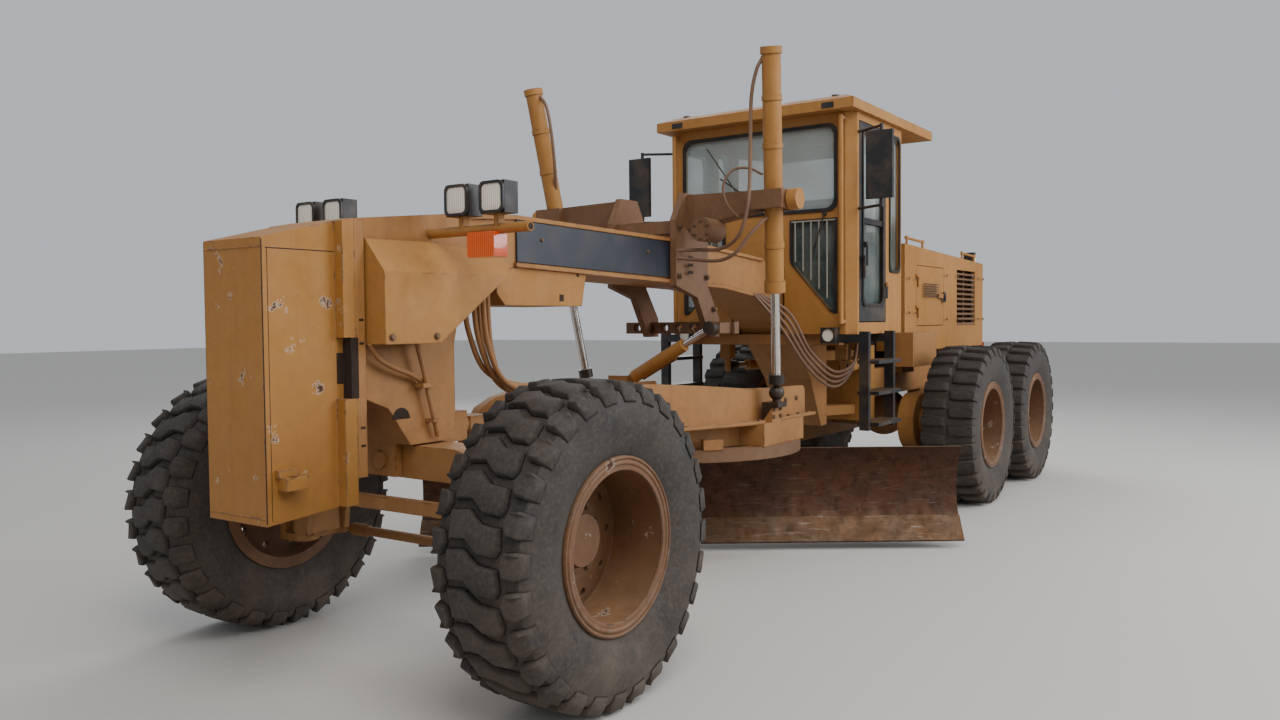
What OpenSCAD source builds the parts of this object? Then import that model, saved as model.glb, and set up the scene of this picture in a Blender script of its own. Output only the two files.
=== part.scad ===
// Motor grader: a long front frame carries a steered, leaning front axle, a
// drawbar with circle and blade, and the cab. It is hinged behind the cab to a
// rear frame with the engine hood and a tandem drive of four wheels.
// X runs forwards, Y to the left, Z up from the ground, all in millimetres.

/* [Stance] */
// Front axle to the tandem's middle
wheelbase = 6086; // [5986:1:6286]
// Front axle's place along the machine
front_axle_x = 3600; // [3550:1:3650]
// Distance between the two wheels of a tandem
tandem_spacing = 1522; // [1500:1:1560]
// Middle of a tyre to the machine's middle plane
wheel_y = 1042; // [1035:1:1070]
// Articulation pin's place along the machine
artic_x = -850; // [-860:1:-835]

/* [Tyres and rims] */
// Tyre radius out to its lugs
tyre_r = 660; // [650:1:665]
// Tyre section width
tyre_w = 445; // [430:1:450]
// Depth of a lug
lug_h = 30; // [20:1:36]
// Lugs on each side of a tyre
lug_count = 15; // [12:1:18]
// Width of a lug
lug_w = 58; // [45:1:66]
// Seat of the tyre on its rim, a radius
rim_r = 318; // [310:1:325]
// Height of the rim's flange above that seat
rim_flange = 40; // [30:1:44]
// Wall of the rim
rim_wall = 16; // [12:1:18]
// Hub radius
hub_r = 120; // [110:1:125]

/* [Front axle] */
// Lean pins' distance from the middle plane
lean_y = 590; // [580:1:600]
// Height of the lean pins
lean_z = 900; // [895:1:905]
// Radius of a lean pin
lean_pin_r = 42; // [36:1:46]
// Length of the axle's box beam along the machine
axle_depth = 190; // [170:1:195]
// Height of the box beam
axle_h = 150; // [130:1:155]
// Kingpins' distance from the middle plane
king_y = 735; // [730:1:745]
// Radius of a kingpin's housing
king_r = 58; // [52:1:60]
// Radius of a kingpin
king_pin_r = 30; // [26:1:34]
// Reach of a steering arm
steer_arm = 240; // [230:1:250]
// Radius of the tie rod
tie_r = 24; // [20:1:26]
// Radius of a steering arm's ball
arm_ball_r = 30; // [28:1:34]
// Height of the wheel disc's inner face over the wheel's middle plane, minus when inboard
disc_z = -90; // [-94:1:-86]
// Slots in a wheel disc
nut_count = 10; // [8:1:12]
// Radius of a slot in a wheel disc
slot_r = 18; // [15:1:20]
// Wheel spindle radius
spindle_r = 50; // [44:1:54]
// Height of the lean bar
lean_bar_z = 740; // [735:1:750]
// Thickness of the lean bar
lean_bar_t = 60; // [50:1:64]

/* [Front frame] */
// Half width of the main beam
beam_y = 200; // [190:1:205]
// Thickness of the beam's edge strips
strip_t = 22; // [16:1:26]
// How far the edge strips stand out
strip_out = 16; // [12:1:20]
// Front face of the nose block
nose_x = 4460; // [4420:1:4480]
// Half width of the nose block
nose_y = 187; // [180:1:195]
// Thickness of the flange that carries the nose block
flange_t = 50; // [40:1:60]
// Half width of that flange
flange_y = 238; // [230:1:240]
// Radius of the articulation pins
artic_pin_r = 45; // [40:1:50]
// Thickness of an articulation tongue
tongue_t = 80; // [70:1:90]

/* [Lift gear] */
// Lift cylinder pivots along the machine
lift_x = 1450; // [1440:1:1460]
// Lift cylinder pivots' distance from the middle plane
lift_y = 820; // [815:1:830]
// Height of the lift cylinder pivots
lift_z = 2250; // [2240:1:2260]
// Lower ball of a lift cylinder along the machine
ball_x = 1240; // [1230:1:1250]
// Lower ball's distance from the middle plane
ball_y = 730; // [725:1:735]
// Height of the lower balls
ball_z = 1100; // [1095:1:1105]
// Radius of the lower balls
ball_r = 48; // [44:1:50]
// Radius of a lift cylinder's barrel
barrel_r = 55; // [50:1:57]
// Radius of its rod
rod_r = 28; // [24:1:30]
// Barrel's length above its pivot
barrel_up = 868; // [800:1:880]
// Barrel's length below its pivot
barrel_down = 548; // [520:1:560]

/* [Drawbar and circle] */
// Drawbar's front ball along the machine
draw_x = 3250; // [3240:1:3260]
// Height of the drawbar's front ball
draw_z = 1050; // [1045:1:1055]
// Middle of the circle along the machine
circle_x = 1150; // [1145:1:1155]
// Outer radius of the circle
circle_r = 765; // [755:1:770]
// Width of the circle's ring
circle_w = 100; // [90:1:105]
// Underside of the circle
circle_z = 706; // [704:1:710]
// Thickness of the circle
circle_t = 74; // [70:1:76]
// Teeth inside the circle
tooth_count = 64; // [56:1:68]

/* [Blade] */
// Angle of the blade to straight across
blade_angle = 35; // [30:1:38]
// Length of the blade
blade_l = 3658; // [3558:1:3678]
// Blade's shift along its rails
blade_shift = 50; // [20:1:60]
// Radius of the blade's curve
blade_r = 413; // [400:1:425]
// Thickness of the blade
blade_t = 22; // [18:1:24]
// Lower edge of the curved plate
blade_z0 = 112; // [110:1:116]
// Upper edge of the curved plate
blade_z1 = 684; // [680:1:686]
// Blade's upper edge behind the circle's middle
blade_back = 70; // [60:1:80]
// Height of the cutting edge's lower side
edge_z = 50; // [46:1:60]
// Thickness of the cutting edge
edge_t = 20; // [16:1:22]

/* [Cab] */
// Front face of the cab
cab_x0 = 100; // [90:1:110]
// Rear face of the cab
cab_x1 = -1230; // [-1240:1:-1220]
// Half width of the cab
cab_y = 770; // [765:1:775]
// Underside of the cab
cab_z0 = 1440; // [1435:1:1450]
// Thickness of the cab's walls and doors
wall = 60; // [54:1:62]
// Top of the roof
roof_z = 3131; // [3120:1:3140]
// Glass thickness
glass_t = 8; // [6:1:10]

/* [Rear frame and hood] */
// Front of the hood
hood_x0 = -1750; // [-1760:1:-1740]
// Rear of the hood
hood_x1 = -4150; // [-4160:1:-4130]
// Half width of the hood
hood_y = 470; // [465:1:475]
// Lower edge of the hood
hood_z0 = 1260; // [1255:1:1265]
// Height of the hood at its front
hood_z1 = 2205; // [2195:1:2210]
// Height of the hood at its rear
hood_z2 = 2125; // [2115:1:2130]
// Sheet of the hood
hood_t = 20; // [16:1:22]
// Inner face of a rear frame rail
rail_y = 290; // [280:1:295]
// Width of a rail
rail_w = 110; // [100:1:115]
// Underside of the rails
rail_z0 = 900; // [895:1:905]
// Height of the rails
rail_h = 230; // [220:1:235]
// Radius of a tandem case's ends
case_r = 240; // [230:1:245]
// Inner face of a tandem case
case_y = 500; // [495:1:510]
// Width of a tandem case
case_w = 140; // [130:1:145]

/* [Hidden] */
$fn = 48;
tandem_x = front_axle_x - wheelbase;
rear_xs = [tandem_x + tandem_spacing / 2, tandem_x - tandem_spacing / 2];
fit = 0.05;
gap = 0.3;
clear = 6;
eye_gap = 12;
SIDES = [1, -1];
// Ends of the rails and the hitch pin
rail_x0 = -1160;
rail_x1 = -4260;
hitch_x = -4360;
// Top of the cab shell
cab_z1 = roof_z - 121;
// Spindle end and outer face of the hub over the wheel's middle plane
spindle_z = -20;
hub_z = 10;
// Kingpin housing: lower and upper face, thickness of a knuckle lug
king_z0 = 500;
king_z1 = 780;
lug_t = 38;
// Articulation: heights of its two joints, lower edge of both frames, radius of a tongue
hitch_zs = [795, 1250];
hitch_low = 700;
hitch_r = 120;
// Valve box under the beam
valve_xs = [2454, 3166];
valve_z = 1630;
// Work lamps: place, height and distances from the middle
lamp_x = 3600;
lamp_z = 2075;
lamp_ys = [410, 615];
// Lift cylinder: trunnion, ball and their distance
lift_top = [lift_x, lift_y, lift_z];
lift_ball = [ball_x, ball_y, ball_z];
lift_len = norm(lift_top - lift_ball);
// Collars on the arms and lock cylinders in front of them
collar_t = 26;
lock_y = 440;
lock_z = 2090;
// Centre shift cylinder: place, pin of the rod, pin of the barrel
shift_x = 1385;
shift_top = [shift_x, 350, 1500];
shift_end = [shift_x, -330, 1130];
collar_in = barrel_r + 20;
// Pipe bands along a lift barrel
band_zs = [-600, -330, 250];
// Drawbar: lower and upper face, radius of its ball
draw_z0 = circle_z + circle_t + gap;
draw_z1 = draw_z0 + 140;
draw_ball_r = 62;
// Arms of the circle: outer and inner face, and the pivots of the blade carrier
arm_ys = [560, 500];
pivot_x = -300;
pivot_z = 215;
// Blade arc: middle height, half of the height, centre of its arc
blade_mid = (blade_z0 + blade_z1) / 2;
blade_half = (blade_z1 - blade_z0) / 2;
blade_cx = -blade_back + sqrt(blade_r * blade_r - blade_half * blade_half);
// Cutting edge: upper end, direction, square to it and lower end
edge_high = [face_x(blade_z0 + 88), blade_z0 + 88];
edge_t0 = ([face_x(blade_z0), blade_z0] - edge_high) / norm([face_x(blade_z0), blade_z0] - edge_high);
edge_n = [-edge_t0.y, edge_t0.x];
edge_low = edge_high + edge_t0 * (edge_high.y - edge_z) / -edge_t0.y;
// Slide rails on the blade and the side shift cylinder
rail_zs = [250, 560];
rail_back = -218;
side_cyl_x = -290;
side_cyl_z = 400;
// Doors: edges, gap, top of the windows and hinges
door_x1 = -500;
door_x0 = 20;
door_z0 = 1530;
door_z1 = cab_z1 - 60;
door_gap = 6;
window_z1 = cab_z1 - 70;
hinge_y = cab_y + 14;
hinge_x = door_x1 + door_gap + 14;
hinge_zs = [1700, 2700];
hinge_r = 6;
// Grab tubes: radius, place and the heights of their ends
grab_r = 17;
grab_x = cab_x0 + 55;
grab_y = 690;
grab_zs = [1530, cab_z1 - 45];
// Lower edge of the upper front window
front_window_z = 2320;
// Middle of the seat
seat_x = -700;
// Rear and front stile of a ladder
ladder_xs = [-430, 55];
// Hood doors and grilles: front and rear edges, lower and upper edge, hinge heights
hdoor_x0 = -2060;
hdoor_x1 = -2820;
grille_x0 = -3240;
grille_x1 = -3860;
panel_z0 = 1480;
panel_z1 = 2030;
hdoor_zs = [panel_z0 + 80, panel_z1 - 190];
// Rear face of the rear lamps
rear_lamp_x = -4110;
// Articulation cylinders: height, pin of the rod, pin of the barrel
artic_cyl_z = 1180;
artic_front = [-330, 500, artic_cyl_z];
artic_rear = [-1040, 330, artic_cyl_z];
// Centre shift cylinder: radii, neck and length of the barrel, length of the rod
shift_r = 42;
shift_rod_r = 22;
shift_neck = 110;
shift_barrel_l = 440;
shift_rod_l = 420;

// Runs children along the line from p towards q, with +Z on that line
module aim(p, q) {
  d = q - p;
  translate(p)
    rotate([0, acos(d.z / norm(d)), atan2(d.y, d.x)])
      children();
}

// A box given by its lowest and highest corners
module box(a, b) {
  translate(a)
    cube(b - a);
}

// A profile drawn in X and Z, as thick as from y0 to y1
module side_plate(y0, y1) {
  translate([0, y1, 0])
    rotate([90, 0, 0])
      linear_extrude(y1 - y0)
        children();
}

// Children on the left side and mirrored to the right
module both() {
  children();
  mirror([0, 1, 0])
    children();
}

// A shaft along Y from y0 to y1
module y_shaft(x, z, r, y0, y1) {
  translate([x, y1, z])
    rotate([90, 0, 0])
      cylinder(r = r, h = y1 - y0);
}

// A shaft along X from x0 to x1
module x_shaft(y, z, r, x0, x1) {
  translate([x0, y, z])
    rotate([0, 90, 0])
      cylinder(r = r, h = x1 - x0);
}

// Puts a wheel's own frame, +Z outwards, at an axle and a side
module wheel_at(x, side) {
  translate([x, side * wheel_y, tyre_r])
    rotate([-90 * side, 0, 0])
      children();
}

// Tyre with lugs from the middle to each shoulder, leaning by slant degrees
module tyre(slant) {
  crown_r = tyre_r - lug_h;
  half = tyre_w / 2;
  bead = 0.8 * half;
  color("#2f2c29")
    difference() {
      union() {
        rotate_extrude()
          polygon([
            [rim_r + gap, -bead], [rim_r + rim_flange + 4, -bead], [rim_r + 0.35 * (crown_r - rim_r), -half],
            [rim_r + 0.72 * (crown_r - rim_r), -half], [crown_r - 12, -0.86 * half], [crown_r, -0.7 * half],
            [crown_r, 0.7 * half], [crown_r - 12, 0.86 * half], [rim_r + 0.72 * (crown_r - rim_r), half],
            [rim_r + 0.35 * (crown_r - rim_r), half], [rim_r + rim_flange + 4, bead], [rim_r + gap, bead]
          ]);
        intersection() {
          cylinder(r = tyre_r, h = tyre_w, center = true, $fn = 180);
          for (side = SIDES, i = [0:lug_count - 1])
            rotate([0, 0, 360 / lug_count * (i + side / 4)])
              rotate([side * slant, 0, 0])
                translate([crown_r - 34, -lug_w / 2, side > 0 ? -8 : 8 - 0.49 * tyre_w])
                  cube([lug_h + 60, lug_w, 0.49 * tyre_w]);
        }
      }
    }
}

// Rim: barrel with two flanges and a disc set deep inside, with slots and a closed hub
module rim() {
  bead = 0.4 * tyre_w;
  inner_r = rim_r - rim_wall;
  color("#b08a4f")
    difference() {
      rotate_extrude()
        polygon([
          [inner_r, -bead - rim_wall], [rim_r + rim_flange, -bead - rim_wall],
          [rim_r + rim_flange, -bead - gap], [rim_r, -bead - gap], [rim_r, bead + gap],
          [rim_r + rim_flange, bead + gap], [rim_r + rim_flange, bead + rim_wall],
          [inner_r, bead + rim_wall], [inner_r, disc_z + 22], [hub_r + 60, disc_z + 40],
          [hub_r, disc_z + 40], [hub_r - 14, hub_z], [0, hub_z], [0, disc_z - 40],
          [hub_r, disc_z - 40], [hub_r, disc_z], [inner_r, disc_z]
        ]);
      translate([0, 0, disc_z - 41])
        cylinder(r = spindle_r, h = spindle_z - disc_z + 41 + 10);
      for (i = [0:nut_count - 1])
        rotate([0, 0, 360 / nut_count * i])
          translate([inner_r - 52, 0, disc_z - 1])
            cylinder(r = slot_r, h = 60);
    }
}

module front_left_tyre() {
  wheel_at(front_axle_x, 1)
    tyre(28);
}

module front_right_tyre() {
  wheel_at(front_axle_x, -1)
    tyre(28);
}

module middle_left_tyre() {
  wheel_at(rear_xs[0], 1)
    tyre(6);
}

module middle_right_tyre() {
  wheel_at(rear_xs[0], -1)
    tyre(6);
}

module rear_left_tyre() {
  wheel_at(rear_xs[1], 1)
    tyre(6);
}

module rear_right_tyre() {
  wheel_at(rear_xs[1], -1)
    tyre(6);
}

module front_left_rim() {
  wheel_at(front_axle_x, 1)
    rim();
}

module front_right_rim() {
  wheel_at(front_axle_x, -1)
    rim();
}

module middle_left_rim() {
  wheel_at(rear_xs[0], 1)
    rim();
}

module middle_right_rim() {
  wheel_at(rear_xs[0], -1)
    rim();
}

module rear_left_rim() {
  wheel_at(rear_xs[1], 1)
    rim();
}

module rear_right_rim() {
  wheel_at(rear_xs[1], -1)
    rim();
}

// Arched box beam on its centre pin, with the lean yokes, kingpin housings and lean bar
module front_axle() {
  color("#a8823f")
    difference() {
      union() {
        translate([front_axle_x - axle_depth / 2, 0, 0])
          rotate([90, 0, 90])
            linear_extrude(axle_depth)
              polygon([
                [-lean_y - 20, lean_z - 72], [-420, lean_z - 50], [0, lean_z - 46], [420, lean_z - 50],
                [lean_y + 20, lean_z - 72], [lean_y + 20, lean_z + 60], [420, lean_z - 50 + axle_h],
                [0, lean_z - 46 + axle_h], [-420, lean_z - 50 + axle_h], [-lean_y - 20, lean_z + 60]
              ]);
        x_shaft(0, lean_z + 30, 40, front_axle_x - axle_depth / 2 - 55, front_axle_x + axle_depth / 2 + 55);
        both() {
          x_shaft(lean_y, lean_z, lean_pin_r, front_axle_x - axle_depth / 2 - 45, front_axle_x + axle_depth / 2 + 45);
          for (x = [front_axle_x - axle_depth / 2 - 32, front_axle_x + axle_depth / 2 + 2])
            translate([x, 0, 0])
              rotate([90, 0, 90])
                linear_extrude(30)
                  polygon([
                    [lean_y - 50, lean_z + 62], [lean_y + 50, lean_z + 62], [lean_y + 68, lean_z],
                    [lean_y + 50, king_z0 + 20], [lean_y - 40, king_z0 + 20], [lean_y - 60, lean_bar_z - 50],
                    [lean_y - 68, lean_z]
                  ]);
          box([front_axle_x - axle_depth / 2 - 2, lean_y - 20, king_z0 + 20], [front_axle_x + axle_depth / 2 + 2, lean_y + 40, king_z1 - 20]);
          box([front_axle_x - 45, lean_y + 20, king_z0], [front_axle_x + 45, king_y, king_z1]);
          translate([front_axle_x, king_y, king_z0])
            cylinder(r = king_r, h = king_z1 - king_z0);
        }
        box([front_axle_x + axle_depth / 2 + 32, -lean_y - 20, lean_bar_z - lean_bar_t / 2], [front_axle_x + axle_depth / 2 + 72, lean_y + 20, lean_bar_z + lean_bar_t / 2]);
      }
      both()
        translate([front_axle_x, king_y, king_z0 - 1])
          cylinder(r = king_pin_r + fit, h = king_z1 - king_z0 + 2);
    }
}

// Steering knuckle: two lugs on the kingpin, their back, the spindle and the arm
module knuckle() {
  back = king_y + king_r + 4;
  color("#7a6136") {
    for (z = [king_z0 - lug_t - 1, king_z1 + 1])
      lug_plate(z, back);
    box([front_axle_x - 70, back, king_z0 - lug_t - 1], [front_axle_x + 70, back + 40, king_z1 + 1 + lug_t]);
    translate([front_axle_x, king_y, king_z0 - 2])
      cylinder(r = king_pin_r, h = king_z1 - king_z0 + 4);
    y_shaft(front_axle_x, tyre_r, spindle_r - fit, back + 30, wheel_y + spindle_z);
    y_shaft(front_axle_x, tyre_r, spindle_r + 22, back + 30, wheel_y + disc_z - 42);
    box([front_axle_x - steer_arm, king_y - 25, king_z0 - lug_t - 1], [front_axle_x - 40, king_y + 25, king_z0 - 1]);
    translate([front_axle_x - steer_arm, king_y, king_z0 - 1 - lug_t / 2])
      sphere(r = arm_ball_r);
  }
}

// A round lug on the kingpin that runs out to the knuckle's back
module lug_plate(z, back) {
  translate([0, 0, z])
    linear_extrude(lug_t)
      union() {
        translate([front_axle_x, king_y])
          circle(r = king_r + 12);
        translate([front_axle_x - king_r - 12, king_y])
          square([2 * king_r + 24, back + 20 - king_y]);
      }
}

module knuckle_left() {
  knuckle();
}

module knuckle_right() {
  mirror([0, 1, 0])
    knuckle();
}

// Tie rod between the steering arms, with its end sleeves and tapered tips
module tie_rod() {
  tip = 34;
  reach = king_y - arm_ball_r - 0.9;
  x = front_axle_x - steer_arm;
  z = king_z0 - 1 - lug_t / 2;
  color("#5c4c33") {
    y_shaft(x, z, tie_r, tip - reach, reach - tip);
    both() {
      y_shaft(x, z, tie_r + 8, reach - 160, reach - 60);
      translate([x, reach - tip - 1, z])
        rotate([-90, 0, 0])
          cylinder(r1 = tie_r, r2 = 8, h = tip + 1);
    }
  }
}

// Main beam with bolster, nose flange and the two clevises behind the cab
module front_frame() {
  color("#9c7a40") {
    side_plate(-beam_y, beam_y)
      polygon([
        [nose_x - 400 - flange_t, 1985], [3440, 2050], [3040, 2075], [lift_x, 2050], [420, 1985], [60, 1880],
        [-560, 1400], [-700, 1400], [-700, hitch_low], [-590, hitch_low], [-500, 880], [-400, 1080], [60, 1520],
        [420, 1700], [980, 1760], [3040, 1820], [3400, 1700], [front_axle_x - 137, 1450],
        [front_axle_x - 137, 1010], [front_axle_x + 137, 1010], [3860, 1180], [nose_x - 400 - flange_t, 1240]
      ]);
    // Edge strips of the box beam
    for (y = [-beam_y - strip_out, beam_y - 1])
      side_plate(y, y + strip_out + 1) {
        polygon([[3400, 2051], [3040, 2075], [lift_x, 2050], [420, 1985], [420, 1985 - strip_t], [lift_x, 2050 - strip_t], [3040, 2075 - strip_t], [3400, 2051 - strip_t]]);
        polygon([[3040, 1820], [980, 1760], [420, 1700], [420, 1700 + strip_t], [980, 1760 + strip_t], [3040, 1820 + strip_t]]);
      }
    // Nose flange
    box([nose_x - 400 - flange_t, -flange_y, 910], [nose_x - 400, flange_y, 1978]);
    // Ears of the axle's centre pin
    for (x = [front_axle_x - axle_depth / 2 - 42, front_axle_x + axle_depth / 2 + 2])
      difference() {
        box([x, -100, 860], [x + 40, 100, 1030]);
        translate([x - 1, 0, lean_z + 30])
          rotate([0, 90, 0])
            cylinder(r = 40 + fit, h = 42);
      }
    // Cup of the drawbar's ball
    difference() {
      box([draw_x + 14, -80, draw_z - 72], [front_axle_x - 136, 80, draw_z + 72]);
      translate([draw_x, 0, draw_z])
        sphere(r = draw_ball_r + gap);
    }
    // Clevises and pins of the articulation
    for (z = hitch_zs) {
      for (z0 = [z - tongue_t / 2 - gap - 45, z + tongue_t / 2 + gap])
        translate([0, 0, z0])
          linear_extrude(45)
            union() {
              translate([artic_x, 0])
                circle(r = hitch_r);
              translate([artic_x, -hitch_r])
                square([-690 - artic_x, 2 * hitch_r]);
            }
      translate([artic_x, 0, z - tongue_t / 2 - 52])
        cylinder(r = artic_pin_r, h = tongue_t + 104);
    }
    // Bosses of the articulation cylinder rods
    both() {
      box([artic_front.x - 45, artic_front.y - 45, artic_cyl_z + 60], [artic_front.x + 45, artic_front.y + 45, cab_z0 - 79]);
      translate([artic_front.x, artic_front.y, artic_cyl_z - 50])
        cylinder(r = 24, h = 112);
    }
    // Cross plates that carry the cab floor
    for (x = [-420, -60])
      box([x, -620, cab_z0 - 80], [x + 90, 620, cab_z0 - gap]);
  }
}

// Push block bolted to the nose
module nose_block() {
  back = nose_x - 400;
  color("#8f6f3c") {
    side_plate(-nose_y, nose_y)
      polygon([[nose_x, 770], [nose_x, 1880], [back, 1980], [back, 800]]);
    // Cheeks beside the flange, stepped at mid height
    both()
      side_plate(nose_y - 1, flange_y)
        polygon([[back + 60, 800], [back + 60, 1240], [back + 24, 1240], [back + 24, 1490], [back + 60, 1490], [back + 60, 1965], [back, 1978], [back, 800]]);
    both()
      difference() {
        box([4310, nose_y - 1, 905], [4410, nose_y + 62, 955]);
        translate([4360, nose_y + 34, 900])
          cylinder(r = 17, h = 60);
      }
  }
}

// Underside of the main beam at place x, between the circle and the neck
function beam_low(x) = x < 3040 ? 1760 + (x - 980) * 60 / 2060 : 1820 - (x - 3040) * 120 / 360;

// Side fairings behind the nose, and the valve box under the beam
module side_covers() {
  color("#a5803f")
    side_plate(-beam_y + 4, beam_y - 4)
      polygon([
        [valve_xs[0], beam_low(valve_xs[0])], [valve_xs[0] + 40, valve_z], [valve_xs[1] - 60, valve_z],
        [valve_xs[1], valve_z + 60], [valve_xs[1], beam_low(valve_xs[1])], [3040, beam_low(3040)]
      ]);
  color("#a5803f")
    both()
      difference() {
        side_plate(beam_y, 350)
          polygon([[4000, 1460], [3690, 1460], [3200, 1800], [3200, 1880], [3600, 1905], [4000, 1900]]);
        // Sloping shoulder
        translate([3000, 350, 1760])
          rotate([40, 0, 0])
            cube([1200, 200, 400]);
      }
}

// Dark hose covers on both sides of the beam
module hose_cover() {
  color("#26231f") {
    for (y = [-beam_y - 12, beam_y])
      side_plate(y, y + 12)
        polygon([[3030, 2050], [1640, 2026], [1640, 1812], [3030, 1846]]);
  }
}

// Work lamps and turn signals on a cross tube
module work_lamps() {
  color("#94723a") {
    for (s = SIDES)
      y_shaft(lamp_x, 1945, 22, s > 0 ? beam_y : -790, s > 0 ? 790 : -beam_y);
    for (s = SIDES, y = lamp_ys)
      box([lamp_x - 20, s * y - 12, 1950], [lamp_x + 20, s * y + 12, lamp_z - 60]);
  }
  color("#3a372f")
    for (s = SIDES, y = lamp_ys)
      translate([lamp_x - 45, s * y, lamp_z])
        rotate([0, 90, 0])
          difference() {
            translate([-68, -68, 0])
              cube([136, 136, 85]);
            translate([0, 0, 62])
              cylinder(r = 60, h = 40);
          }
  color("#d0d0c8")
    for (s = SIDES, y = lamp_ys)
      translate([lamp_x - 45 + 61, s * y, lamp_z])
        rotate([0, 90, 0])
          cylinder(r = 60 - gap, h = 12);
  // Head lamps on the cab's front edge
  color("#3a372f")
    both()
      difference() {
        box([cab_x0, 545, cab_z0 - 62], [cab_x0 + 84, 655, cab_z0 + 50]);
        x_shaft(600, cab_z0 - 6, 44, cab_x0 + 60, cab_x0 + 85);
      }
  color("#d0d0c8")
    both()
      x_shaft(600, cab_z0 - 6, 44 - gap, cab_x0 + 60, cab_x0 + 74);
  color("#c8541e")
    for (s = SIDES)
      translate([lamp_x - 30, s * 550, 1878])
        rotate([0, 90, 0])
          cylinder(r = 52, h = 70);
  color("#94723a")
    for (s = SIDES)
      box([lamp_x - 15, s * 550 - 12, 1925], [lamp_x + 5, s * 550 + 12, 1930]);
}

// Bracket over the beam with arms, each ending in a collar round a cylinder
module saddle() {
  color("#6f5733") {
    // Cheeks on the beam and the cap over it
    both()
      side_plate(beam_y + strip_out, beam_y + strip_out + 42)
        polygon([
          [lift_x + 190, 1760], [lift_x + 190, 2160], [lift_x + 90, 2330], [lift_x - 90, 2330],
          [lift_x - 190, 2160], [lift_x - 190, 1760], [lift_x - 330, 1560], [lift_x - 330, 1440],
          [lift_x - 210, 1440], [lift_x - 60, 1690]
        ]);
    difference() {
      box([lift_x - 150, -beam_y - strip_out - 42, 2080], [lift_x + 150, beam_y + strip_out + 42, 2160]);
      box([lift_x - 90, -beam_y + 60, 2079], [lift_x + 90, beam_y - 60, 2161]);
    }
    // Arms
    both()
      translate([lift_x - 60, 0, 0])
        rotate([90, 0, 90])
          linear_extrude(120)
            polygon([[beam_y + strip_out + 20, 2100], [lift_y - collar_in - collar_t + 4, lift_z - 60], [lift_y - collar_in - collar_t + 4, lift_z + 60], [beam_y + strip_out + 20, 2320]]);
    // Lock cylinders in front of the arms
    both()
      x_shaft(lock_y, lock_z, 72, lift_x + 20, lift_x + 200);
    // Collars with the bores of the trunnions
    both()
      difference() {
        translate([lift_x, lift_y, lift_z])
          cube([2 * collar_in + 2 * collar_t, 2 * collar_in + 2 * collar_t, 110], center = true);
        translate([lift_x, lift_y, lift_z])
          cube([2 * collar_in, 2 * collar_in, 112], center = true);
        y_shaft(lift_x, lift_z, 24 + fit, lift_y - 120, lift_y + 120);
      }
  }
  // Seat of the centre shift cylinder on the link bar
  color("#6f5733")
    box([lift_x - 241, shift_top.y - 45, 1466], [shift_x - 30 - gap, shift_top.y + 45, 1534]);
  // Link bar across the cheeks, with its row of lock holes
  color("#7d6236")
    difference() {
      box([lift_x - 300, -420, 1462], [lift_x - 240, 420, 1538]);
      for (i = [-3:3])
        translate([lift_x - 301, i * 110, 1500])
          rotate([0, 90, 0])
            cylinder(r = 28, h = 62);
    }
}

// Lift cylinder barrel on its trunnions, with its pipe bands
module lift_barrel() {
  color("#a07c3e")
    difference() {
      union() {
        aim(lift_top, lift_ball) {
          translate([0, 0, -barrel_up])
            cylinder(r = barrel_r, h = barrel_up + barrel_down);
          translate([0, 0, -barrel_up])
            cylinder(r = barrel_r + 8, h = 40);
          translate([0, 0, barrel_down - 70])
            cylinder(r = barrel_r + 8, h = 70);
          for (z = band_zs)
            translate([0, 0, z])
              cylinder(r = barrel_r + 5, h = 30);
        }
        y_shaft(lift_x, lift_z, 62, lift_y + collar_in + collar_t + 6, lift_y + collar_in + collar_t + 70);
        y_shaft(lift_x, lift_z, 24, lift_y - collar_in - collar_t + 8, lift_y + collar_in + collar_t + 10);
      }
      aim(lift_top, lift_ball)
        translate([0, 0, -barrel_up + 60])
          cylinder(r = rod_r + fit, h = barrel_up + barrel_down);
    }
}

// Its rod, with a piston-side tail and the cap that sits over the ball
module lift_rod() {
  aim(lift_top, lift_ball) {
    color("#c9c9c4")
      translate([0, 0, -150])
        cylinder(r = rod_r, h = lift_len + 150 - ball_r - eye_gap - 20);
    color("#57462c")
      translate([0, 0, lift_len - ball_r - eye_gap - 60])
        cylinder(r = rod_r + 20, h = 60);
  }
}

module lift_barrel_left() {
  lift_barrel();
}

module lift_barrel_right() {
  mirror([0, 1, 0])
    lift_barrel();
}

module lift_rod_left() {
  lift_rod();
}

module lift_rod_right() {
  mirror([0, 1, 0])
    lift_rod();
}

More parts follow.
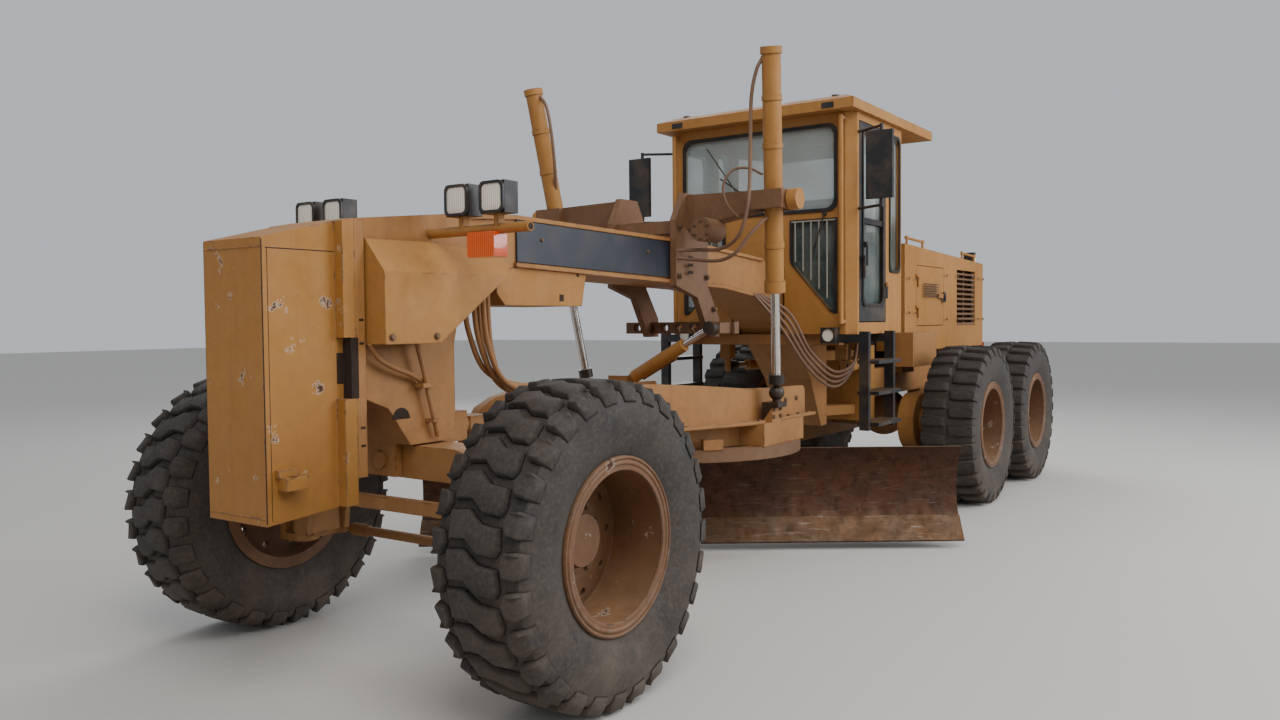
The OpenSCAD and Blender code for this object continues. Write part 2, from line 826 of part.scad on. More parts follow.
// Drawbar: ball, two converging rails, cross box and the balls of the lift cylinders
module drawbar() {
  rail = 130;
  color("#6b5330") {
    difference() {
      translate([0, 0, draw_z0])
        linear_extrude(draw_z1 - draw_z0)
          difference() {
            polygon([[draw_x - 130, -75], [draw_x - 130, 75], [circle_x + 560, 400], [circle_x + 250, 560], [circle_x + 250, -560], [circle_x + 560, -400]]);
            polygon([[draw_x - 620, 0], [circle_x + 620, 250], [circle_x + 620, -250]]);
          }
    }
    // Cross box over the circle
    difference() {
      box([circle_x - 290, -ball_y, draw_z0], [circle_x + 255, ball_y, draw_z1]);
      translate([circle_x - 30, 0, draw_z0 - 1])
        cylinder(r = 170, h = 200);
    }
    // Neck and ball
    side_plate(-60, 60)
      polygon([[draw_x - 420, draw_z0], [draw_x - 420, draw_z1 - 2], [draw_x - 160, draw_z + 38], [draw_x - 30, draw_z + 38], [draw_x - 30, draw_z - 38], [draw_x - 150, draw_z0]]);
    translate([draw_x, 0, draw_z])
      sphere(r = draw_ball_r);
    // Seats and balls of the lift cylinders
    both() {
      box([ball_x - 60, ball_y - 70, draw_z1 - 1], [ball_x + 60, ball_y, ball_z - ball_r - 10]);
      translate([ball_x, ball_y, ball_z - 70])
        cylinder(r = 26, h = 60);
      translate([ball_x, ball_y, ball_z])
        sphere(r = ball_r);
      box([ball_x - 60, ball_y - 70, ball_z - ball_r - 40], [ball_x + 60, ball_y + 40, ball_z - ball_r - 10]);
    }
    // Upright ear for the centre shift cylinder
    box([1420, -400, draw_z1 - 1], [1450, -260, 1190]);
    // Gear housing of the circle drive
    translate([circle_x + 560, 0, draw_z1 - 1])
      cylinder(r = 110, h = 120);
    translate([circle_x + 560, 0, draw_z0 + 20])
      cylinder(r = 150, h = 100);
    translate([circle_x + 560, 0, circle_z + 6])
      cylinder(r = circle_r - circle_w - 26 - clear - 560, h = draw_z0 - circle_z);
    // Shoes that hold the circle from above
    for (a = [45, 135, 225, 315])
      translate([circle_x, 0, 0])
        rotate([0, 0, a])
          box([circle_r - 60, -60, draw_z0], [circle_r + 6, 60, draw_z0 + 60]);
  }
}

// Circle with inner teeth and the two arms that hold the blade's pivots
module blade_frame_at() {
  translate([circle_x, 0, 0])
    rotate([0, 0, blade_angle])
      children();
}

module circle_ring() {
  tooth_r = circle_r - circle_w;
  color("#5f4a2c")
    blade_frame_at() {
      translate([0, 0, circle_z])
        linear_extrude(circle_t)
          difference() {
            circle(r = circle_r);
            circle(r = tooth_r);
          }
      for (i = [0:tooth_count - 1])
        rotate([0, 0, 360 / tooth_count * i])
          translate([0, 0, circle_z])
            linear_extrude(circle_t - 14)
              polygon([[tooth_r + 3, -18], [tooth_r + 3, 18], [tooth_r - 26, 9], [tooth_r - 26, -9]]);
      // Arms down to the pivots
      for (s = SIDES)
        difference() {
          side_plate(s > 0 ? arm_ys[1] : -arm_ys[0], s > 0 ? arm_ys[0] : -arm_ys[1])
            polygon([[-365, circle_z + 1], [-365, 300], [-262, 262], [-238, 215], [-262, 165], [-310, 150], [-390, 190], [-470, 330], [-600, circle_z + 1]]);
          y_shaft(pivot_x, pivot_z, 32 + fit, -arm_ys[0] - 1, arm_ys[0] + 1);
        }
      // Cross brace between the arms
      box([-540, -arm_ys[1] - 1, circle_z - 90], [-460, arm_ys[1] + 1, circle_z - 30]);
    }
}

// Outer arc of the blade at height z: how far its back lies behind the upper edge
function face_x(z) = blade_cx - sqrt(pow(blade_r, 2) - pow(z - blade_mid, 2));
// The cutting edge lies on the chord of the blade's lower face
function back_x(z) = blade_cx - sqrt(pow(blade_r + blade_t, 2) - pow(z - blade_mid, 2));
function lip_x(z0, z1) = min(back_x(z0), back_x(z1)) - 12;

// Carrier that tips on the circle's arms and guides the blade's rails
module blade_carrier() {
  color("#57452b")
    blade_frame_at()
      difference() {
        union() {
          for (s = SIDES) {
            y0 = s > 0 ? 405 : -arm_ys[1] + gap;
            y1 = s > 0 ? arm_ys[1] - gap : -405;
            side_plate(y0, y1)
              polygon([
                [rail_back - gap, 185], [rail_back - gap, 620], [rail_back - 40, 620], [rail_back - 46, 280],
                [-335, 270], [-345, 190], [-300, 165]
              ]);
            for (z = rail_zs) {
              box([rail_back - 1, y0, z + 26 + gap], [lip_x(z + 26, z + 56), y1, z + 56]);
              box([rail_back - 1, y0, z - 56], [lip_x(z - 56, z - 26), y1, z - 26 - gap]);
            }
          }
          // Shafts into the arms
          for (s = SIDES)
            y_shaft(pivot_x, pivot_z, 32, s > 0 ? arm_ys[1] - 20 : -arm_ys[0] - 12, s > 0 ? arm_ys[0] + 12 : -arm_ys[1] + 20);
          // Side shift cylinder, held by the brackets
          y_shaft(side_cyl_x, side_cyl_z, 40, -760, 480);
        }
        y_shaft(side_cyl_x, side_cyl_z, 22 + fit, -745, 481);
      }
}

// Curved blade plate with its two rails
module moldboard() {
  a = asin(blade_half / blade_r);
  color("#4a382a")
    blade_frame_at()
      translate([0, blade_shift, 0]) {
        side_plate(-blade_l / 2, blade_l / 2)
          difference() {
            intersection() {
              translate([blade_cx, blade_mid])
                circle(r = blade_r + blade_t, $fn = 96);
              translate([-blade_back - 300, blade_z0])
                square([300, blade_z1 - blade_z0]);
            }
            translate([blade_cx, blade_mid])
              circle(r = blade_r, $fn = 96);
          }
        for (z = rail_zs)
          box([rail_back, -blade_l / 2 + 300, z - 26], [back_x(z) + 8, blade_l / 2 - 300, z + 26]);
      }
}

// Cutting edges along the lower front and the end bits
module cutting_edge() {
  color("#3c2f26")
    blade_frame_at()
      translate([0, blade_shift, 0]) {
        side_plate(-blade_l / 2, blade_l / 2)
          polygon([edge_low, edge_high, edge_high + edge_t * edge_n, edge_low + edge_t * edge_n]);
      }
}

// Rod of the side shift cylinder with its end bracket on the blade
module side_shift_rod() {
  blade_frame_at()
    translate([0, blade_shift, 0]) {
      color("#c9c9c4")
        y_shaft(side_cyl_x, side_cyl_z, 22, -165 - blade_shift, 1125);
      color("#4a382a")
        box([side_cyl_x - 34, 1120, side_cyl_z - 34], [rail_back + 4, 1160, side_cyl_z + 34]);
    }
}

// Centre shift cylinder, in a plane across the machine
// Centre shift cylinder: barrel up from the drawbar's ear, rod from the link bar's seat
module centre_shift_barrel() {
  color("#8a6b38")
    difference() {
      union() {
        aim(shift_end, shift_top) {
          translate([0, 0, shift_neck])
            cylinder(r = shift_r, h = shift_barrel_l);
          translate([-24, -24, 0])
            cube([48, 48, shift_neck + 20]);
        }
        x_shaft(shift_end.y, shift_end.z, 42, shift_x - 26, shift_x + 26);
      }
      aim(shift_end, shift_top)
        translate([0, 0, shift_neck + 40])
          cylinder(r = shift_rod_r + fit, h = shift_barrel_l);
    }
}

module centre_shift_rod() {
  color("#c9c9c4")
    aim(shift_top, shift_end)
      translate([0, 0, 30])
        cylinder(r = shift_rod_r, h = shift_rod_l);
  color("#57462c")
    x_shaft(shift_top.y, shift_top.z, 42, shift_x - 30, shift_x + 30);
}

// Plan of the cab, drawn inset by d
module cab_plan(d) {
  offset(delta = -d)
    polygon([[cab_x0, -700], [cab_x0, 700], [cab_x0 - 50, cab_y], [-830, cab_y], [cab_x1, 560], [cab_x1, -560], [-830, -cab_y], [cab_x0 - 50, -cab_y]]);
}

// Windows and doorways cut in the cab
module window_cuts() {
  box([cab_x0 - wall - 5, -640, front_window_z], [cab_x0 + 5, 640, window_z1]);
  both() {
    side_window_front();
    box([-790, cab_y - wall - 5, 1900], [-565, cab_y + 5, window_z1]);
  }
  box([cab_x1 - 5, -500, 2250], [cab_x1 + wall + 5, 500, window_z1]);
  both()
    rear_corner();
}

// Angled lower front window beside the beam
module side_window_front() {
  translate([cab_x0 - wall - 5, 0, 0])
    rotate([90, 0, 90])
      linear_extrude(wall + 10)
        polygon([[270, 1960], [600, 1590], [640, 1590], [640, front_window_z - 50], [270, front_window_z - 50]]);
}

// Window in the slanting rear corner
module rear_corner() {
  a = atan2(cab_y - 560, -830 - cab_x1);
  l = norm([cab_y - 560, -830 - cab_x1]);
  translate([cab_x1, 560, 0])
    rotate([0, 0, a])
      box([70, -wall - 5, 1950], [l - 70, 5, window_z1]);
}

// Cab shell: floor, posts and walls, with the beam's tunnel, doors and windows cut
module cab_shell() {
  color("#b18d4a")
    difference() {
      translate([0, 0, cab_z0])
        linear_extrude(cab_z1 - gap - cab_z0)
          cab_plan(0);
      translate([0, 0, cab_z0 + 60])
        linear_extrude(cab_z1 - cab_z0)
          cab_plan(wall);
      // Tunnel over the beam
      box([-720, -beam_y - clear - strip_out, cab_z0 - 1], [cab_x0 + 1, beam_y + clear + strip_out, 1930]);
      both()
        box([door_x1, cab_y - wall - 1, door_z0 - door_gap], [door_x0, cab_y + 1, door_z1 + door_gap]);
      window_cuts();
    }
  // Leaves and pins of the door hinges
  color("#3a362f")
    both()
      for (z = hinge_zs) {
        box([door_x1 - 44, cab_y - 1, z + 90 + gap], [door_x1 - 4, hinge_y + 10, z + 120]);
        box([door_x1 - 5, hinge_y - 4, z + 90 + gap], [hinge_x, hinge_y + 10, z + 120]);
        translate([hinge_x, hinge_y, z + 10])
          cylinder(r = hinge_r, h = 105);
      }
  // Grab tubes up the front corners
  color("#b18d4a")
    both() {
      translate([grab_x, grab_y, grab_zs[0] - 16])
        cylinder(r = grab_r, h = grab_zs[1] - grab_zs[0] + 32);
      for (z = grab_zs)
        x_shaft(grab_y, z, grab_r - 2, cab_x0 - wall / 2, grab_x);
    }
  // Cover over the beam inside the cab
  color("#4a443a")
    difference() {
      side_plate(-beam_y - 60, beam_y + 60)
        polygon([[cab_x0 - wall + 1, cab_z0 + 59], [cab_x0 - wall + 1, cover_z(cab_x0 - wall + 1)], [-260, 1760], [-770, 1540], [-770, cab_z0 + 59]]);
      side_plate(-beam_y - clear - strip_out, beam_y + clear + strip_out)
        polygon([[cab_x0 - wall + 2, cab_z0 + 50], [cab_x0 - wall + 2, 1925], [-270, 1710], [-720, 1450]]);
    }
}

module cab_roof() {
  color("#b89350")
    intersection() {
      side_plate(-810, 810)
        polygon([[-1440, cab_z1], [-1440, roof_z - 50], [-1330, roof_z - 6], [-600, roof_z], [110, roof_z - 6], [220, roof_z - 50], [220, cab_z1]]);
      translate([-1440, 0, 0])
        rotate([90, 0, 90])
          linear_extrude(1660)
            polygon([[-810, cab_z1], [-810, roof_z - 50], [-700, roof_z], [700, roof_z], [810, roof_z - 50], [810, cab_z1]]);
    }
}

module cab_glass() {
  mid = wall / 2;
  color("#2e3a3a") {
    box([cab_x0 - mid, -640, front_window_z], [cab_x0 - mid + glass_t, 640, window_z1]);
    both() {
      intersection() {
        side_window_front();
        box([cab_x0 - mid, 0, 1500], [cab_x0 - mid + glass_t, 800, 2400]);
      }
      box([-790, cab_y - mid, 1900], [-565, cab_y - mid + glass_t, window_z1]);
      intersection() {
        rear_corner();
        rear_corner_pane();
      }
    }
    box([cab_x1 + mid, -500, 2250], [cab_x1 + mid + glass_t, 500, window_z1]);
  }
}

module rear_corner_pane() {
  a = atan2(cab_y - 560, -830 - cab_x1);
  translate([cab_x1, 560, 0])
    rotate([0, 0, a])
      box([0, -wall / 2, 1900], [600, -wall / 2 + glass_t, 3000]);
}

// Door frame with its window opening, hinged at its rear edge
module door() {
  d = door_gap;
  color("#2c2a27")
    difference() {
      union() {
        box([door_x1 + d, cab_y - wall, door_z0], [door_x0 - d, cab_y, door_z1]);
        for (z = hinge_zs)
          translate([hinge_x, hinge_y, z])
            cylinder(r = 12, h = 90);
        for (z = hinge_zs)
          box([hinge_x, cab_y - 1, z], [hinge_x + 46, hinge_y, z + 90]);
        box([door_x0 - 50, cab_y - 1, 1980], [door_x0 - 24, cab_y + 34, 2000]);
        box([door_x0 - 50, cab_y + 22, 1840], [door_x0 - 24, cab_y + 34, 2000]);
      }
      box([door_x1 + 55, cab_y - wall - 1, 1640], [door_x0 - 55, cab_y + 1, window_z1 - 40]);
      translate([hinge_x, hinge_y, 1500])
        cylinder(r = hinge_r + fit, h = 1500);
    }
}

module door_pane() {
  color("#2e3a3a")
    box([door_x1 + 55, cab_y - wall / 2, 1640], [door_x0 - 55, cab_y - wall / 2 + glass_t, window_z1 - 40]);
}

module door_left() {
  door();
}

module door_right() {
  mirror([0, 1, 0])
    door();
}

module door_left_glass() {
  door_pane();
}

module door_right_glass() {
  mirror([0, 1, 0])
    door_pane();
}

// Seat on its pedestal
module seat() {
  floor_z = cab_z0 + 60;
  color("#2a2a2a") {
    box([seat_x - 280, -150, floor_z], [seat_x - 95, 150, floor_z + 331]);
    box([seat_x - 290, -260, floor_z + 330], [seat_x + 200, 260, floor_z + 450]);
    translate([seat_x - 290, 0, floor_z + 430])
      rotate([0, -10, 0])
        box([-40, -250, 0], [70, 250, 620]);
  }
}

// Top of the cover over the beam at place x
function cover_z(x) = 1760 + (x + 260) * 200 / (cab_x0 - wall + 260);

// Control pedestal with its lever bank and steering wheel
module console() {
  color("#383430") {
    side_plate(-130, 130)
      polygon([[-190, cover_z(-190)], [-10, cover_z(-10)], [-10, 2180], [-70, 2230], [-230, 2160]]);
    both()
      for (i = [0:3])
        translate([-166 + 36 * i, 166, 2110])
          cylinder(r = 8, h = 170 + 10 * i);
    both()
      box([-190, 129, 2020], [-30, 200, 2120]);
    aim([-190, 0, 2150], [-330, 0, 2330]) {
      cylinder(r = 26, h = 196);
      translate([0, 0, 180])
        linear_extrude(22)
          difference() {
            circle(r = 203);
            circle(r = 179);
          }
      translate([0, 0, 183])
        linear_extrude(14)
          for (a = [0, 120, 240])
            rotate(a)
              translate([0, -14])
                square([190, 28]);
    }
  }
}

// Ladders below the doors
module ladders() {
  color("#1f1d1b")
    both() {
      for (x = ladder_xs) {
        box([x, 800, 760], [x + 40, 870, cab_z0 + 20]);
        box([x, 620, cab_z0 - 60], [x + 40, 801, cab_z0 - gap]);
      }
      for (z = [790, 1010, 1230])
        box([ladder_xs[0] + 39, 770, z], [ladder_xs[1] + 1, 930, z + 26]);
    }
}

// Mirrors on arms from the front posts
module mirrors() {
  foot_x = cab_x0 - 64;
  head = [160, 990];
  color("#1f1d1b")
    both() {
      for (z = [2330, 2870]) {
        y_shaft(foot_x, z, 10, cab_y, cab_y + 34);
        aim([foot_x, cab_y + 28, z], [head.x, head.y, z])
          cylinder(r = 10, h = norm([head.x - foot_x, head.y - cab_y - 28]));
      }
      translate([head.x, head.y, 2318])
        cylinder(r = 12, h = 564);
      box([head.x + 8, head.y - 20, 2420], [head.x + 30, head.y + 20, 2780]);
      box([head.x + 20, head.y - 95, 2370], [head.x + 52, head.y + 95, 2830]);
    }
}

// Rear frame: two rails, cross members, seats of the hood and the boxes beside the rails
module rear_frame() {
  color("#8c6c3a") {
    both()
      box([rail_x1, rail_y, rail_z0], [rail_x0 - 60, rail_y + rail_w, rail_z0 + rail_h]);
    for (x = [-2300, -3550])
      box([x, -rail_y - 1, rail_z0 + 20], [x + 120, rail_y + 1, rail_z0 + 160]);
    // Seats of the hood
    both()
      for (x = [-2000, -3900])
        box([x, rail_y + 20, rail_z0 + rail_h - 1], [x + 80, hood_y - hood_t, hood_z0 + 60]);
  }
  // Battery and tool boxes beside the rails
  color("#6e5129")
    both() {
      box([-2060, 480, 1140], [-1450, 650, hood_z0 + 170]);
      box([-1900, rail_y + rail_w - 1, rail_z0 + 180], [-1600, 500, 1145]);
    }
}

// Plate across the rails' front ends with the tongues of the articulation and the ears of its cylinders
module rear_tongues() {
  color("#8c6c3a") {
    difference() {
      union() {
        box([rail_x0 - 60, -rail_y - rail_w, hitch_low], [rail_x0 + 40, rail_y + rail_w, 1330]);
        for (z = hitch_zs)
          translate([0, 0, z - tongue_t / 2])
            linear_extrude(tongue_t)
              union() {
                translate([artic_x, 0])
                  circle(r = hitch_r);
                polygon([[artic_x, hitch_r], [artic_x, -hitch_r], [rail_x0 + 1, -rail_y], [rail_x0 + 1, rail_y]]);
              }
      }
      translate([artic_x, 0, 400])
        cylinder(r = artic_pin_r + fit, h = 1000);
    }
    both() {
      for (z = [artic_cyl_z - 35 - gap - 25, artic_cyl_z + 35 + gap])
        box([rail_x0 + 39, artic_rear.y - 40, z], [artic_rear.x + 40, artic_rear.y + 40, z + 25]);
      translate([artic_rear.x, artic_rear.y, artic_cyl_z - 55])
        cylinder(r = 22, h = 110);
    }
  }
}

// Bumper across the rails' rear ends with the jaw of the rear hitch
module rear_hitch() {
  color("#8c6c3a") {
    box([rail_x1 - 60, -620, 780], [rail_x1, 620, 1230]);
    difference() {
      union() {
        box([hitch_x - 60, -110, 440], [rail_x1 - 30, 110, 500]);
        box([hitch_x - 60, -110, 690], [rail_x1 - 30, 110, 750]);
        box([rail_x1 - 60, -160, 420], [rail_x1 - 20, 160, 790]);
      }
      translate([hitch_x, 0, 400])
        cylinder(r = 32, h = 400);
    }
  }
}

// Engine with its gearbox, one plain block each
module powertrain() {
  color("#3b3a36") {
    box([-3300, -260, rail_z0 + rail_h + 10], [-2000, 260, 1960]);
    box([-2001, -200, rail_z0 + 60], [-1350, 200, 1500]);
    box([-2900, -rail_y, rail_z0 + rail_h - 60], [-2500, rail_y, rail_z0 + rail_h + 11]);
  }
}

// Side outline of the hood between two places along it
module hood_side(x0, x1, z0, d) {
  top0 = hood_top(x0) - d;
  top1 = hood_top(x1) - d;
  polygon([[x0, z0], [x0, top0], [x1, top1], [x1, z0]]);
}
function hood_top(x) = hood_z1 + (hood_z2 - hood_z1) * (hood_x0 - x) / (hood_x0 - hood_x1);

module hood() {
  color("#a8843f")
    difference() {
      side_plate(-hood_y, hood_y)
        hood_side(hood_x0, hood_x1, hood_z0, 0);
      difference() {
        side_plate(-hood_y + hood_t, hood_y - hood_t)
          hood_side(hood_x0 - hood_t, hood_x1 + hood_t, hood_z0 - 1, hood_t);
      }
      both() {
        box([hdoor_x1, hood_y - hood_t - 1, panel_z0], [hdoor_x0, hood_y + 1, panel_z1]);
        box([grille_x1, hood_y - hood_t - 1, panel_z0], [grille_x0, hood_y + 1, panel_z1]);
      }
      box([hood_x1 - 1, -380, 1400], [hood_x1 + hood_t + 1, 380, 2020]);
      box([hood_x0 - hood_t - 1, -210, hood_z0 - 1], [hood_x0 + 1, 210, 1510]);
      // Mouths of the stacks
      translate([-2150, 150, 2000])
        cylinder(r = 62, h = 400);
      translate([-2250, -160, 2000])
        cylinder(r = 82, h = 400);
    }
  // Rails on the top
  color("#a8843f")
    both()
      for (x0 = [-2330, -3960]) {
        for (x = [x0, x0 + 420])
          translate([x, hood_y - 40, hood_top(x) - 6])
            cylinder(r = 11, h = 90);
        aim([x0 - 30, hood_y - 40, hood_top(x0) + 66], [x0 + 450, hood_y - 40, hood_top(x0 + 420) + 66])
          cylinder(r = 12, h = 480);
      }
  // Leaves and pins of the side door hinges
  color("#a8843f")
    both()
      for (z = hdoor_zs) {
        box([hdoor_x0 + 3, hood_y - 1, z + 80 + gap], [hdoor_x0 + 40, hood_y + 20, z + 104]);
        box([hdoor_x0 - 17, hood_y + 8, z + 80 + gap], [hdoor_x0 + 4, hood_y + 20, z + 104]);
        translate([hdoor_x0 - 17, hood_y + 12, z + 10])
          cylinder(r = hinge_r, h = 90);
      }
}

// Hood side doors, hinged at their front edge
module hood_door() {
  d = 5;
  color("#a27d3c") {
    box([hdoor_x1 + d, hood_y - hood_t, panel_z0 + d], [hdoor_x0 - d, hood_y, panel_z1 - d]);
    difference() {
      for (z = hdoor_zs) {
        translate([hdoor_x0 - d - 12, hood_y + 12, z])
          cylinder(r = 12, h = 80);
        box([hdoor_x0 - d - 50, hood_y - 1, z], [hdoor_x0 - d - 12, hood_y + 12, z + 80]);
      }
      translate([hdoor_x0 - d - 12, hood_y + 12, panel_z0])
        cylinder(r = hinge_r + fit, h = panel_z1 - panel_z0);
    }
    box([hdoor_x1 + 60, hood_y - 1, 1740], [hdoor_x1 + 90, hood_y + 26, 1780]);
    box([hdoor_x1 + 60, hood_y + 16, 1740], [hdoor_x1 + 200, hood_y + 26, 1780]);
  }
}

module hood_door_left() {
  hood_door();
}

module hood_door_right() {
  mirror([0, 1, 0])
    hood_door();
}

// Slatted grilles at the sides and the rear, with the radiator behind them
module grilles() {
  color("#6f5a30") {
    both() {
      for (z = [panel_z0 : 50 : panel_z1 - 30])
        translate([0, hood_y - hood_t / 2, z + 12])
          rotate([-35, 0, 0])
            box([grille_x1 + gap, -16, -4], [grille_x0 - gap, 16, 4]);
      for (x = [grille_x1 + 2, (grille_x0 + grille_x1) / 2 - 10, grille_x0 - 22])
        box([x, hood_y - hood_t - 24, panel_z0 + 1], [x + 20, hood_y - hood_t - 4, panel_z1 - 1]);
    }
    for (z = [1400 : 50 : 1980])
      box([hood_x1 + 2, -380 + gap, z + 8], [hood_x1 + 22, 380 - gap, z + 26]);
    for (y = [-370, -10, 350])
      box([hood_x1 + 20, y, 1401], [hood_x1 + 40, y + 20, 2019]);
  }
  color("#35332e")
    box([-3990, -400, hood_z0 + 60], [-3880, 400, 2050]);
  // Rear work lamps on the hood
  color("#2c2a27")
    both()
      difference() {
        side_plate(300, 410)
          polygon([
            [rear_lamp_x, hood_top(rear_lamp_x) + gap], [rear_lamp_x + 80, hood_top(rear_lamp_x + 80) + gap],
            [rear_lamp_x + 80, hood_top(rear_lamp_x) + 120], [rear_lamp_x, hood_top(rear_lamp_x) + 120]
          ]);
        x_shaft(355, hood_top(rear_lamp_x) + 65, 42, rear_lamp_x - 1, rear_lamp_x + 20);
      }
}

// Exhaust stack and air cleaner stack
module stacks() {
  color("#4c3b2c") {
    translate([-2150, 150, 1960])
      cylinder(r = 60, h = 700);
    translate([-2150, 150, 2659])
      cylinder(r = 42, h = 260);
    translate([-2250, -160, 1960])
      cylinder(r = 80, h = 501);
    translate([-2250, -160, 2460])
      cylinder(r = 130, h = 200);
    translate([-2250, -160, 2659])
      cylinder(r = 60, h = 60);
  }
}

// Axle housing, the two tandem cases and the wheel spindles
module tandem_drive() {
  color("#7b5f35") {
    y_shaft(tandem_x, tyre_r, 140, -case_y + gap, case_y - gap);
    translate([tandem_x, 0, tyre_r])
      sphere(r = 225);
    for (s = SIDES)
      box([tandem_x - 130, s > 0 ? rail_y - 10 : -rail_y - rail_w, tyre_r], [tandem_x + 130, s > 0 ? rail_y + rail_w : -rail_y + 10, rail_z0]);
  }
}

// Chain cases with the spindles of the rear wheels
module tandem_cases() {
  color("#7b5f35")
    both() {
      side_plate(case_y, case_y + case_w)
        tandem_outline();
      for (x = rear_xs) {
        y_shaft(x, tyre_r, 110, case_y + case_w - 1, case_y + case_w + 60);
        y_shaft(x, tyre_r, spindle_r - fit, case_y + case_w, wheel_y + spindle_z);
      }
      y_shaft(tandem_x, tyre_r, 170, case_y + case_w - 1, case_y + case_w + 30);
    }
}

module tandem_outline() {
  for (x = rear_xs)
    translate([x, tyre_r])
      circle(r = case_r);
  polygon([
    [rear_xs[1], tyre_r - case_r], [rear_xs[0], tyre_r - case_r], [rear_xs[0], tyre_r + case_r],
    [tandem_x + 300, tyre_r + case_r], [tandem_x + 200, tyre_r + case_r + 40],
    [tandem_x - 200, tyre_r + case_r + 40], [tandem_x - 300, tyre_r + case_r], [rear_xs[1], tyre_r + case_r]
  ]);
}

// Articulation cylinders, between the front frame's cross plates and the rear hitch plate
module artic_barrel() {
  l = norm(artic_front - artic_rear);
  color("#8a6b38")
    difference() {
      union() {
        aim(artic_rear, artic_front) {
          translate([0, 0, 66])
            cylinder(r = 45, h = l - 300);
          translate([-28, -28, 30])
            cube([56, 56, 50]);
        }
        translate([artic_rear.x, artic_rear.y, artic_cyl_z - 35])
          cylinder(r = 52, h = 70);
      }
      aim(artic_rear, artic_front)
        translate([0, 0, 95])
          cylinder(r = 25 + fit, h = l);
      translate([artic_rear.x, artic_rear.y, artic_cyl_z - 36])
        cylinder(r = 22 + fit, h = 72);
    }
}

module artic_rod() {
  l = norm(artic_front - artic_rear);
  color("#c9c9c4")
    aim(artic_rear, artic_front)
      translate([0, 0, 245])
        cylinder(r = 25, h = l - 245 - 24 - eye_gap - 30);
  color("#57462c")
    aim(artic_rear, artic_front)
      translate([0, 0, l - 24 - eye_gap - 60])
        cylinder(r = 38, h = 60);
}

module artic_barrel_left() {
  artic_barrel();
}

module artic_barrel_right() {
  mirror([0, 1, 0])
    artic_barrel();
}

module artic_rod_left() {
  artic_rod();
}

module artic_rod_right() {
  mirror([0, 1, 0])
    artic_rod();
}

front_frame();
nose_block();
side_covers();
hose_cover();
work_lamps();
saddle();
front_axle();
knuckle_left();
knuckle_right();
tie_rod();
front_left_tyre();
front_left_rim();
front_right_tyre();
front_right_rim();
middle_left_tyre();
middle_left_rim();
middle_right_tyre();
middle_right_rim();
rear_left_tyre();
rear_left_rim();
rear_right_tyre();
rear_right_rim();
lift_barrel_left();
lift_rod_left();
lift_barrel_right();
lift_rod_right();
drawbar();
centre_shift_barrel();
centre_shift_rod();
circle_ring();
blade_carrier();
moldboard();
cutting_edge();
side_shift_rod();
cab_shell();
cab_roof();
cab_glass();
door_left();
door_left_glass();
door_right();
door_right_glass();
seat();
console();
ladders();
mirrors();
rear_frame();
rear_tongues();
rear_hitch();
powertrain();
tandem_drive();
tandem_cases();
hood();
hood_door_left();
hood_door_right();
grilles();
stacks();
artic_barrel_left();
artic_rod_left();
artic_barrel_right();
artic_rod_right();
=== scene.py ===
"""Looks of a worn motor grader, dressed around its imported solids.

Lengths are in metres. X runs forwards, Y to the left and Z up from the ground.
"""

import math

import bpy
from mathutils import Matrix, Vector


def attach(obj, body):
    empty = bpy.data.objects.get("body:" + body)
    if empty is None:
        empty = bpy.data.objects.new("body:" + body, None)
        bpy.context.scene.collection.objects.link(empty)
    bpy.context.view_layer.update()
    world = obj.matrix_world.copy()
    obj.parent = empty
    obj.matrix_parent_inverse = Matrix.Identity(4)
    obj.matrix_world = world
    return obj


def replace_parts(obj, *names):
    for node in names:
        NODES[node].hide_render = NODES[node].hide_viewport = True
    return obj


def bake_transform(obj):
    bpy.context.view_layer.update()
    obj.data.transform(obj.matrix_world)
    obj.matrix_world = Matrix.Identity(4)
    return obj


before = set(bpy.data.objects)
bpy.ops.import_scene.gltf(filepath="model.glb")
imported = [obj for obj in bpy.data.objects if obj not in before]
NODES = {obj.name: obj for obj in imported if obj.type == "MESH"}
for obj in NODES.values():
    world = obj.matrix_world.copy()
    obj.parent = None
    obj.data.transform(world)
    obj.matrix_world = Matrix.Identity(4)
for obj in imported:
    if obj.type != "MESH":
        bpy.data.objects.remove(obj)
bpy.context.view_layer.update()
SIDES = (("left", 1), ("right", -1))
FORWARD, LEFT, UP = Vector((1, 0, 0)), Vector((0, 1, 0)), Vector((0, 0, 1))
QUARTER_TURN = math.pi / 2
FULL_TURN = 2 * math.pi

# Camera: place and axes as in the photograph, with its focal length and sensor in millimetres
CAMERA_PLACE = (6.778, 3.518, 1.546)
CAMERA_RIGHT = Vector((-0.5661, 0.8243, -0.0090))
CAMERA_UP = Vector((-0.0370, -0.0145, 0.9992))
CAMERA_LENS = 28.125
CAMERA_SENSOR = 36.0
CAMERA_REACH = 200.0

FLOOR_HALF = 60.0
SKY_COLOUR = (0.80, 0.84, 0.90, 1.0)
SKY_STRENGTH = 0.7
LAMP_SIZE = 6.0
LAMP_TARGET = Vector((0.5, 0, 1.0))
# Name, place, power and colour of each lamp
LAMPS = (
    ("key", (6.5, 6.0, 8.5), 580.0, (1.0, 0.96, 0.90)),
    ("fill", (-2.5, 9.0, 5.0), 760.0, (0.92, 0.95, 1.0)),
    ("back", (-7.0, -6.0, 7.0), 500.0, (0.95, 0.97, 1.0)),
)


def linear(red, green, blue):
    """Linear colour, with full alpha, of three display values up to 255."""
    return tuple((v / 255) ** 2.2 for v in (red, green, blue)) + (1.0,)


